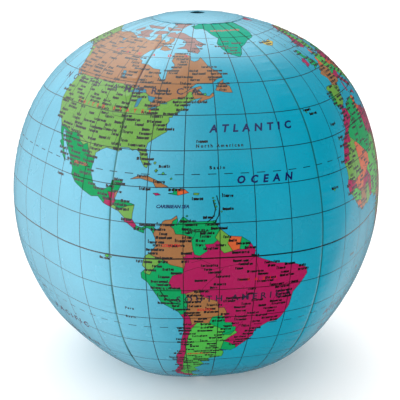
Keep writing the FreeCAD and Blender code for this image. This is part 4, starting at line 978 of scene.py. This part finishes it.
def painted_sheen(lon, s):
    """How much painted sheen lightens the sea, 0 to 1: most over the Pacific and towards the north."""
    lon = np.mod(lon + 180, 360) - 180
    pacific = smooth(-54, -96, lon) + smooth(60, 150, lon)
    north = smooth(float(along(50)), float(along(74)), s)
    return np.clip(PACIFIC_SHEEN * pacific + NORTH_SHEEN * north, 0, MOST_SHEEN)


def corner_colours(inks, faces, lonlat):
    """Linear colour of every face corner, with its gloss: flat inks, and a sea lightened by painted sheen.
    """
    flat = np.array([linear(TINTS[ink])[:3] for ink, _ in inks])
    shade = np.array([shade for _, shade in inks])
    seam = shade == SHADES["seam"]
    sea = np.array([ink == "ocean" for ink, _ in inks])
    gloss = np.array([GLOSS.get(ink, 1.0) for ink, _ in inks])
    counts = [len(f) for f in faces]
    corners = lonlat[np.concatenate(faces)]
    # the sea's painted sheen, and the sea colour with it
    sheen_share = painted_sheen(corners[:, 0], corners[:, 1])[:, None]
    deep, light = (np.array(linear(TINTS[name])[:3]) for name in ("ocean", "sea_sheen"))
    sea_and_sheen = deep + (light - deep) * sheen_share
    sea_gloss = SEA_GLOSS + (1 - SEA_GLOSS) * sheen_share[:, 0] / PACIFIC_SHEEN
    flat, shade, sea, seam = (np.repeat(v, counts, axis=0) for v in (flat, shade, sea, seam))
    colour = np.where(sea[:, None], sea_and_sheen, flat)
    # a seam's colour: partly the overlap of film, partly painted shade of its groove
    seam_overlap_and_shade = np.where(sea[:, None], sea_and_sheen * SEAM_SEA_OVERLAP_AND_SHADE, flat**SEAM_OVERLAP_AND_SHADE_POWER)
    colour = np.where(seam[:, None], seam_overlap_and_shade, colour * shade[:, None])
    gloss = np.where(sea, np.minimum(sea_gloss, 1), np.repeat(gloss, counts))
    return np.hstack([colour, gloss[:, None]])


def anticlockwise(ring):
    """The same ring, anticlockwise."""
    x, y = ring[:, 0], ring[:, 1]
    area = np.dot(x, np.roll(y, -1)) - np.dot(y, np.roll(x, -1))
    return ring if area > 0 else ring[::-1]


def plane_points(points):
    """Points in the plane where gores are triangulated."""
    return [Vector((float(x) * DOMAIN_SCALE, float(y))) for x, y in points]


def triangulate(points, shapes, border):
    """Triangles inside a border, with the list of the shapes that hold each one."""
    verts = plane_points(points)
    faces = []
    for ring in [border] + [s[3] for s in shapes]:
        ring = anticlockwise(ring)
        start = len(verts)
        verts += plane_points(ring)
        faces.append(list(range(start, start + len(ring))))
    out, _, tris, _, _, origins = delaunay_2d_cdt(verts, [], faces, 0, 1e-5, True)
    lonlat = np.array([(v.x / DOMAIN_SCALE, v.y) for v in out])
    lows = [tuple(s[3].min(axis=0)) for s in shapes]
    highs = [tuple(s[3].max(axis=0)) for s in shapes]
    kept = []
    for corners, found in zip(tris, origins):
        if 0 not in found:
            continue
        x, y = lonlat[corners].mean(axis=0)
        near = [i - 1 for i in found if i]
        near = [i for i in near if lows[i][0] < x < highs[i][0] and lows[i][1] < y < highs[i][1]]
        kept.append((corners, near))
    return lonlat, kept


def renumbered(faces, count):
    """Faces numbered over the points that they use, and which points those are."""
    used = np.unique(np.concatenate(faces))
    index = np.full(count, -1)
    index[used] = np.arange(len(used))
    return [index[f].tolist() for f in faces], used


def new_mesh(name, points, faces, corners, vertex_normals):
    """A piece with smooth shading, given normals and a printed colour at each face corner, painted sheen and
    shade included.
    """
    mesh = bpy.data.meshes.new(name)
    mesh.from_pydata(points.tolist(), [], faces)
    # print colours, with the painted sheen of the sea and the painted shade of the seams
    ink = mesh.color_attributes.new("print_and_painted_light", "FLOAT_COLOR", "CORNER")
    ink.data.foreach_set("color", corners.astype(np.float32).ravel())
    mesh.shade_smooth()
    mesh.normals_split_custom_set_from_vertices(vertex_normals.tolist())
    piece = bpy.data.objects.new(name, mesh)
    bpy.context.scene.collection.objects.link(piece)
    return piece


def weld_fin(lonlat, middle, count):
    """The welded edge turned inside the ball, down both sides of a gore."""
    points, faces, vertex_normals = [], [], []
    for side in (-1, 1):
        rows = lonlat[np.abs(lonlat[:, 0] - (middle + side * GORE_DEGREES / 2)) < 1e-4]
        rows = rows[np.argsort(rows[:, 1])]
        lon, s = rows[:, 0], rows[:, 1]
        n = len(rows)
        first = count + len(points)
        points += surface(lon, s).tolist() + surface(lon, s, -SEAM_ALLOWANCE).tolist()
        turn = np.radians(lon - FIRST_SEAM)
        out = np.stack([-np.sin(turn), np.cos(turn), 0 * turn], -1) * side
        vertex_normals += out.tolist() * 2
        for i in range(n - 1):
            quad = [first + i, first + i + 1, first + n + i + 1, first + n + i]
            faces.append(quad if side > 0 else quad[::-1])
    return points, faces, vertex_normals


def gore_border(middle, rows):
    """A gore's outline on the print: its two seams and its two cut tips."""
    half = GORE_DEGREES / 2
    ends = np.linspace(-half, half, 9)[1:-1]
    left = [(middle - half, s) for s in rows]
    top = [(middle + x, rows[-1]) for x in ends]
    right = [(middle + half, s) for s in rows[::-1]]
    bottom = [(middle - x, rows[0]) for x in ends]
    return np.array(left + top + right + bottom)


def make_gore(node, middle, shapes):
    """One printed gore with its grooves and puckers, in place of its CAD node."""
    rows = np.linspace(-(SOUTH_LENGTH - BOTTOM_TIP), NORTH_LENGTH - TOP_TIP, GORE_ROWS)
    near = shifted(shapes, middle)
    lonlat, kept = triangulate(grid_points(middle, rows[1:-1]), near, gore_border(middle, rows))
    inks = [face_ink(found, near) for _, found in kept]
    faces, used = renumbered([corners for corners, _ in kept], len(lonlat))
    lonlat = lonlat[used]
    lon, s = lonlat[:, 0], lonlat[:, 1]
    points, n = surface(lon, s), normals(lon, s)
    fin_points, fin_faces, fin_normals = weld_fin(lonlat, middle, len(lonlat))
    corners = np.vstack([
        corner_colours(inks, faces, lonlat),
        [linear(TINTS["ocean"])] * 4 * len(fin_faces),
    ])
    name = node.replace("panel", "gore")
    points, n = np.vstack([points, fin_points]), np.vstack([n, fin_normals])
    piece = new_mesh(name, points, faces + fin_faces, corners, n)
    piece.data.materials.append(FILM)
    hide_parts(node)
    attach(piece, "ball")
    return piece


# Pole caps: welded discs over the tips of the gores. Distances are in mm.

CAP_WELD = CAP_RADIUS - 3.2  # radius of the ring of weld
WELD_DEPTH, WELD_WIDTH = 0.16, 0.7
CAP_STAND_OFF = 0.42  # from the film under the top cap to the cap's face
CRINKLE = 0.13
SEAT_RADIUS, SEAT_HEIGHT, SEAT_WIDTH = 15.5, 0.22, 1.6  # where the valve's flange lifts the cap


def cap_distance(r, north):
    """Distance along the film, north of the equator, of a point r from the axis near a pole."""
    if north:
        return NORTH_LENGTH - CROWN * np.arcsin(np.minimum(r / CROWN, 1))
    return r - SOUTH_LENGTH


def cap_lift(r, turn, north):
    """How far a cap's face stands off the film, with its ring of weld and its crinkled rim."""
    weld = WELD_DEPTH * np.exp(-(((r - CAP_WELD) / WELD_WIDTH) ** 2))
    if not north:
        return WALL - weld
    crinkle = np.sin(23 * turn) + 0.7 * np.sin(37 * turn + 1.2) + 0.5 * np.sin(9 * turn)
    rim = CRINKLE * crinkle * smooth(CAP_RADIUS - 9, CAP_RADIUS - 1, r)
    seat = SEAT_HEIGHT * np.exp(-(((r - SEAT_RADIUS) / SEAT_WIDTH) ** 2))
    return CAP_STAND_OFF - weld + rim + seat


def keyhole():
    """The opening of the valve recess with its strap pocket, as points in mm from the axis."""
    half = POCKET_WIDTH / 2
    start = math.asin(half / RECESS_RADIUS)
    turns = np.linspace(math.pi / 2 + start, 2.5 * math.pi - start, 49)
    ring = [(RECESS_RADIUS * math.cos(t), RECESS_RADIUS * math.sin(t)) for t in turns]
    corner = 0.8
    side = [(half, POCKET_REACH - corner), (half - corner, POCKET_REACH)]
    return np.array(ring + side + [(-x, y) for x, y in side[::-1]])


def cap_shell(x, y, north, lift=None):
    """Points and normals of a cap over plan positions in mm."""
    r, turn = np.hypot(x, y), np.arctan2(y, x)
    lon = np.degrees(turn) + FIRST_SEAM
    s = cap_distance(r, north)
    rise = cap_lift(r, turn, north) if lift is None else lift
    return surface(lon, s, rise), normals(lon, s, 0.0)


def cap_colours(corners, north):
    """The cap's sea colour, with painted sheen on the top one, darker along its ring of weld and at its cut
    edge.
    """
    r = np.hypot(corners[:, 0], corners[:, 1])
    ring = 0.30 * np.exp(-(((r - CAP_WELD) / 0.55) ** 2))
    edge = 0.45 * smooth(CAP_RADIUS - 0.9, CAP_RADIUS - 0.2, r)
    deep, light = (np.array(linear(TINTS[name])[:3]) for name in ("ocean", "sea_sheen"))
    # the top cap gets the painted sheen of the northern sea; the bottom one the plain sea ink
    cap_sea_and_sheen = deep + (light - deep) * (0.7 if north else 0.0)
    shade = (1 - ring) * (1 - edge)
    return np.hstack([cap_sea_and_sheen * shade[:, None], np.ones((len(r), 1))])


def cap_plan(border, hole):
    """A cap's points seen from above, in mm, and the triangles between them."""
    rings = []
    for r in np.arange(3.0, CAP_RADIUS - 0.5, 1.1):
        turns = np.linspace(0, 2 * math.pi, max(12, int(r * 4.5)), endpoint=False)
        rings += [(r * math.cos(t), r * math.sin(t)) for t in turns + r]
    verts = [Vector(p) for p in rings] + [Vector(p) for p in border]
    faces = [list(range(len(rings), len(rings) + len(border)))]
    if hole is not None:
        faces.append(list(range(len(verts), len(verts) + len(hole))))
        verts += [Vector(p) for p in anticlockwise(hole)]
    out, _, tris, _, _, origins = delaunay_2d_cdt(verts, [], faces, 0, 1e-5, True)
    faces, used = renumbered([t for t, o in zip(tris, origins) if 0 in o and 1 not in o], len(out))
    return np.array([tuple(out[i]) for i in used]), faces


def cap_wall(ring, outward, north, first):
    """A cap's cut edge along one ring: points, normals, and faces numbered from first."""
    x, y = ring[:, 0], ring[:, 1]
    high, _ = cap_shell(x, y, north)
    low, _ = cap_shell(x, y, north, lift=-0.1)
    out = outward * np.stack([x, y, 0 * x], -1) / np.hypot(x, y)[:, None]
    n = len(ring)
    faces = []
    for i in range(n):
        j = (i + 1) % n
        quad = [first + i, first + j, first + n + j, first + n + i]
        faces.append(quad if outward < 0 else quad[::-1])
    return np.vstack([high, low]), np.vstack([out, out]), faces


def make_cap(node, north):
    """A round cap: its face, its cut rim and, at the top, the walls of the keyhole opening."""
    rim = np.linspace(0, 2 * math.pi, 181)[:-1]
    border = CAP_RADIUS * np.stack([np.cos(rim), np.sin(rim)], -1)
    hole = keyhole() if north else None
    flat, faces = cap_plan(border, hole)
    if not north:
        faces = [f[::-1] for f in faces]
    points, n = cap_shell(flat[:, 0], flat[:, 1], north)
    for ring, outward in ((border, 1.0), (hole, -1.0)):
        if ring is None:
            continue
        wall_points, wall_normals, wall_faces = cap_wall(ring, outward, north, len(points))
        points, n = np.vstack([points, wall_points]), np.vstack([n, wall_normals])
        faces += wall_faces
    colours = cap_colours(points[np.concatenate(faces)] / MM, north)
    piece = new_mesh(node.replace("_cap", "_pole_cap"), points, faces, colours, n)
    piece.data.materials.append(CAP_FILM)
    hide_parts(node)
    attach(piece, "ball")
    return piece


# The tether that keeps the plug on the stem: a soft strap folded back on itself.

STRAP_WIDTH, STRAP_THICKNESS, STRAP_REACH = 3.2, 0.7, 9.0
STRAP_BOTTOM, STRAP_TOP, STRAP_START = 285.64, 288.34, 5.45


def strap_path():
    """The strap's middle line in the y and z plane, in mm, from the collar round to the head."""
    low, high = STRAP_BOTTOM + STRAP_THICKNESS / 2, STRAP_TOP - STRAP_THICKNESS / 2
    bend = (high - low) / 2
    y = STRAP_REACH - STRAP_THICKNESS / 2 - bend
    turns = np.linspace(-math.pi / 2, math.pi / 2, 25)
    curve = [(y + bend * math.cos(t), low + bend + bend * math.sin(t)) for t in turns]
    run = np.linspace(STRAP_START, y, 9)[:-1]
    return np.array([(v, low) for v in run] + curve + [(v, high) for v in run[::-1]])


def strap_section():
    """Rounded cross-section: across the strap and through its thickness."""
    half_w, half_t = STRAP_WIDTH / 2, STRAP_THICKNESS / 2
    turns = np.linspace(0, 2 * math.pi, 25)[:-1]
    c, s = np.cos(turns), np.sin(turns)
    return np.stack([
        half_w * np.sign(c) * np.abs(c) ** 0.35,
        half_t * np.sign(s) * np.abs(s) ** 0.6,
    ], -1)


def make_strap():
    """The strap from the stem's collar to the plug's head, in place of its CAD node."""
    path, section = strap_path(), strap_section()
    ahead = np.gradient(path, axis=0)
    ahead /= np.linalg.norm(ahead, axis=1, keepdims=True)
    points, faces = [], []
    m = len(section)
    for i, ((y, z), (dy, dz)) in enumerate(zip(path, ahead)):
        waist = 1 - 0.12 * math.sin(math.pi * i / (len(path) - 1))
        points += [(w * waist * MM, (y - t * dz) * MM, (z + t * dy) * MM) for w, t in section]
    for i in range(len(path) - 1):
        for j in range(m):
            k = (j + 1) % m
            faces.append([i * m + j, i * m + k, (i + 1) * m + k, (i + 1) * m + j])
    faces.append(list(range(m))[::-1])
    faces.append([(len(path) - 1) * m + j for j in range(m)])
    mesh = bpy.data.meshes.new("tether_strap")
    mesh.from_pydata(points, [], faces)
    mesh.shade_smooth()
    mesh.materials.append(VALVE_VINYL)
    piece = bpy.data.objects.new("tether_strap", mesh)
    bpy.context.scene.collection.objects.link(piece)
    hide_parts("plug_tether")
    y = (STRAP_REACH - 1) * MM
    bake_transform(piece)
    return piece


# Materials.


def node(tree, kind, **inputs):
    """A new shader node with plain values on its inputs."""
    made = tree.nodes.new(kind)
    for name, value in inputs.items():
        made.inputs[name.replace("_", " ")].default_value = value
    return made


def arithmetic(tree, operation, socket, number, plus=None):
    """A value worked out from a socket and a plain number or two."""
    made = tree.nodes.new("ShaderNodeMath")
    made.operation = operation
    made.inputs[1].default_value = number
    if plus is not None:
        made.inputs[2].default_value = plus
    tree.links.new(socket, made.inputs[0])
    return made.outputs[0]


def speckle(tree, scale, detail, low, high):
    """Noise over the object's own coordinates, remapped to a range."""
    where = tree.nodes.new("ShaderNodeTexCoord")
    noise = node(tree, "ShaderNodeTexNoise", Scale=scale, Detail=detail)
    tree.links.new(where.outputs["Object"], noise.inputs["Vector"])
    ramp = node(tree, "ShaderNodeMapRange")
    ramp.inputs["From Min"].default_value = 0.3
    ramp.inputs["From Max"].default_value = 0.7
    ramp.inputs["To Min"].default_value = low
    ramp.inputs["To Max"].default_value = high
    tree.links.new(noise.outputs["Fac"], ramp.inputs["Value"])
    return ramp.outputs["Result"]


def vinyl(name, colour, rough, grain, coat, density):
    """Glossy soft vinyl: mottled colour, uneven gloss and a fine grain."""
    material = bpy.data.materials.new(name)
    material.use_nodes = True
    tree = material.node_tree
    shader = tree.nodes["Principled BSDF"]
    shader.inputs["Coat Weight"].default_value = coat
    shader.inputs["Coat Roughness"].default_value = 0.12
    shader.inputs["IOR"].default_value = 1.5
    mottle = speckle(tree, 26.0, 4.0, 0.95 * density, 1.05 * density)
    dots = speckle(tree, 700.0, 1.0, 0.965, 1.035)
    both = tree.nodes.new("ShaderNodeMath")
    both.operation = "MULTIPLY"
    tree.links.new(mottle, both.inputs[0])
    tree.links.new(dots, both.inputs[1])
    tone = tree.nodes.new("ShaderNodeVectorMath")
    tone.operation = "SCALE"
    if colour is None:
        # the print, with its painted sheen and seam shade
        ink = tree.nodes.new("ShaderNodeVertexColor")
        ink.layer_name = "print_and_painted_light"
        tree.links.new(ink.outputs["Color"], tone.inputs[0])
        for socket, full in (("Specular IOR Level", 0.5), ("Coat Weight", coat)):
            share = arithmetic(tree, "MULTIPLY", ink.outputs["Alpha"], full)
            tree.links.new(share, shader.inputs[socket])
    else:
        tone.inputs[0].default_value = linear(colour)[:3]
    tree.links.new(both.outputs[0], tone.inputs["Scale"])
    tree.links.new(tone.outputs[0], shader.inputs["Base Color"])
    gloss = speckle(tree, 34.0, 3.0, rough * 0.8, rough * 1.25)
    tree.links.new(gloss, shader.inputs["Roughness"])
    bump = node(tree, "ShaderNodeBump", Strength=grain, Distance=0.0004)
    height = speckle(tree, 420.0, 3.0, 0.0, 1.0)
    tree.links.new(height, bump.inputs["Height"])
    tree.links.new(bump.outputs["Normal"], shader.inputs["Normal"])
    return material


FILM = vinyl("printed_vinyl_film", None, 0.24, 0.10, 0.25, 0.8)
CAP_FILM = vinyl("cap_vinyl_film", None, 0.30, 0.12, 0.2, 0.8)
VALVE_VINYL = vinyl("valve_vinyl_soft", (6, 62, 78), 0.42, 0.2, 0.0, 1.0)


def finish_valve():
    """Rounded edges and soft vinyl on the valve's own CAD parts."""
    for name in ("valve_socket", "valve_stem", "valve_plug", "check_flap"):
        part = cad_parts[name]
        part.data.materials.clear()
        part.data.materials.append(VALVE_VINYL)
        bevel = part.modifiers.new("rounded_edges", "BEVEL")
        bevel.width = 0.18 * MM
        bevel.segments = 2
        bevel.limit_method = "ANGLE"
        bevel.angle_limit = math.radians(40)


# The room: floor, lights and camera.

CENTRE = Vector((0, 0, EQUATOR_HEIGHT * MM))


def toward(azimuth, elevation):
    """Unit direction from the ball: azimuth 0 is the front, 90 the right, as the camera sees it."""
    a, e = math.radians(azimuth), math.radians(elevation)
    return Vector((math.sin(a) * math.cos(e), -math.cos(a) * math.cos(e), math.sin(e)))


def soft_light(name, azimuth, elevation, distance, width, height, radiance):
    """A rectangular soft box that faces the ball."""
    lamp = bpy.data.lights.new(name, "AREA")
    lamp.shape, lamp.size, lamp.size_y = "RECTANGLE", width, height
    lamp.energy = radiance * math.pi * width * height
    box = bpy.data.objects.new(name, lamp)
    bpy.context.scene.collection.objects.link(box)
    back = toward(azimuth, elevation)
    box.location = CENTRE + back * distance
    box.rotation_mode = "QUATERNION"
    box.rotation_quaternion = back.to_track_quat("Z", "Y")
    return box


# Bright parts of the studio: azimuth, elevation, sharpness, radiance and tint.
LOBES = (
    (-80.0, -8.0, 4.5, 2.35, (0.95, 0.98, 1.0)),
    (-160.0, 60.0, 10.0, 2.8, (0.97, 0.99, 1.0)),
    (118.0, -28.0, 24.0, 1.3, (0.98, 0.99, 1.0)),
)
AMBIENT = 0.05


def sky_lobe(tree, azimuth, elevation, sharpness, radiance, tint):
    """A soft bright part of the studio, round one direction."""
    where = tree.nodes.new("ShaderNodeTexCoord")
    dot = tree.nodes.new("ShaderNodeVectorMath")
    dot.operation = "DOT_PRODUCT"
    dot.inputs[1].default_value = toward(azimuth, elevation)
    tree.links.new(where.outputs["Generated"], dot.inputs[0])
    half = arithmetic(tree, "MULTIPLY_ADD", dot.outputs["Value"], 0.5, plus=0.5)
    power = arithmetic(tree, "POWER", half, sharpness)
    bright = arithmetic(tree, "MULTIPLY", power, radiance)
    glow = tree.nodes.new("ShaderNodeBackground")
    glow.inputs["Color"].default_value = (*tint, 1)
    tree.links.new(bright, glow.inputs["Strength"])
    return glow.outputs[0]


def add_shaders(tree, parts):
    """The sum of several shaders."""
    total = parts[0]
    for part in parts[1:]:
        both = tree.nodes.new("ShaderNodeAddShader")
        tree.links.new(total, both.inputs[0])
        tree.links.new(part, both.inputs[1])
        total = both.outputs[0]
    return total


def make_world():
    """Soft studio light from all round, seen by the camera as plain white."""
    world = bpy.data.worlds.new("studio")
    bpy.context.scene.world = world
    world.use_nodes = True
    tree = world.node_tree
    dim = tree.nodes["Background"]
    dim.inputs["Color"].default_value = (1, 1, 1, 1)
    dim.inputs["Strength"].default_value = AMBIENT
    light = add_shaders(tree, [dim.outputs[0]] + [sky_lobe(tree, *lobe) for lobe in LOBES])
    white = tree.nodes.new("ShaderNodeBackground")
    white.inputs["Color"].default_value = (1, 1, 1, 1)
    path = tree.nodes.new("ShaderNodeLightPath")
    mix = tree.nodes.new("ShaderNodeMixShader")
    tree.links.new(path.outputs["Is Camera Ray"], mix.inputs["Fac"])
    tree.links.new(light, mix.inputs[1])
    tree.links.new(white.outputs[0], mix.inputs[2])
    tree.links.new(mix.outputs[0], tree.nodes["World Output"].inputs["Surface"])


def make_floor():
    """A plain pale floor, which the glossy vinyl doesn't mirror."""
    bpy.ops.mesh.primitive_circle_add(vertices=96, radius=3.0, fill_type="NGON")
    floor = bpy.context.object
    floor.name = "floor"
    floor.visible_glossy = False
    paper = bpy.data.materials.new("floor_paper")
    paper.use_nodes = True
    shader = paper.node_tree.nodes["Principled BSDF"]
    shader.inputs["Roughness"].default_value = 0.9
    shader.inputs["Specular IOR Level"].default_value = 0.0
    shader.inputs["Base Color"].default_value = (0.92, 0.89, 0.875, 1)
    shader.inputs["Emission Color"].default_value = (1, 1, 1, 1)
    shader.inputs["Emission Strength"].default_value = 0.16
    floor.data.materials.append(paper)


# Soft boxes: azimuth, elevation, distance, width, height and radiance. The vinyl mirrors only
# the first.
BOXES = {
    "front_top_box": (-2, 52, 1.5, 1.9, 1.5, 0.55),
    "right_fill": (32, 20, 1.8, 2.4, 1.4, 1.2),
    "back_fill": (125, 48, 1.7, 1.8, 1.5, 1.5),
}


def make_room():
    """The studio: world light, floor and soft boxes."""
    make_world()
    make_floor()
    for name, values in BOXES.items():
        box = soft_light(name, *values)
        box.visible_glossy = name == "front_top_box"


CAMERA_AZIMUTH, CAMERA_ELEVATION = -6.1, 18.63
CAMERA_DISTANCE, CAMERA_LENS = 0.7847, 83.5
CAMERA_SHIFT = (0.006, -0.0228)


def make_camera():
    """The camera, aimed level across the ball's middle from above its front."""
    data = bpy.data.cameras.new("camera")
    data.lens, data.sensor_width = CAMERA_LENS, 36.0
    data.shift_x, data.shift_y = CAMERA_SHIFT
    data.clip_start, data.clip_end = 0.05, 20
    camera = bpy.data.objects.new("camera", data)
    bpy.context.scene.collection.objects.link(camera)
    back = toward(CAMERA_AZIMUTH, CAMERA_ELEVATION)
    camera.location = CENTRE + back * CAMERA_DISTANCE
    camera.rotation_mode = "QUATERNION"
    camera.rotation_quaternion = back.to_track_quat("Z", "Y")
    bpy.context.scene.camera = camera


def build():
    """The whole scene."""
    shapes = map_shapes() + graticule()
    for text, lon, lat, height, spacing, ink in WORDS:
        shapes += word_shapes(text, lon, lat, height, spacing, ink)
    shapes += place_labels()
    for name, middle in GORES.items():
        make_gore(name, middle, shapes)
    make_cap("north_cap", True)
    make_cap("south_cap", False)
    make_strap()
    finish_valve()
    make_room()
    make_camera()
    scene = bpy.context.scene
    scene.view_settings.view_transform = "Standard"
    scene.view_settings.look = "None"


build()
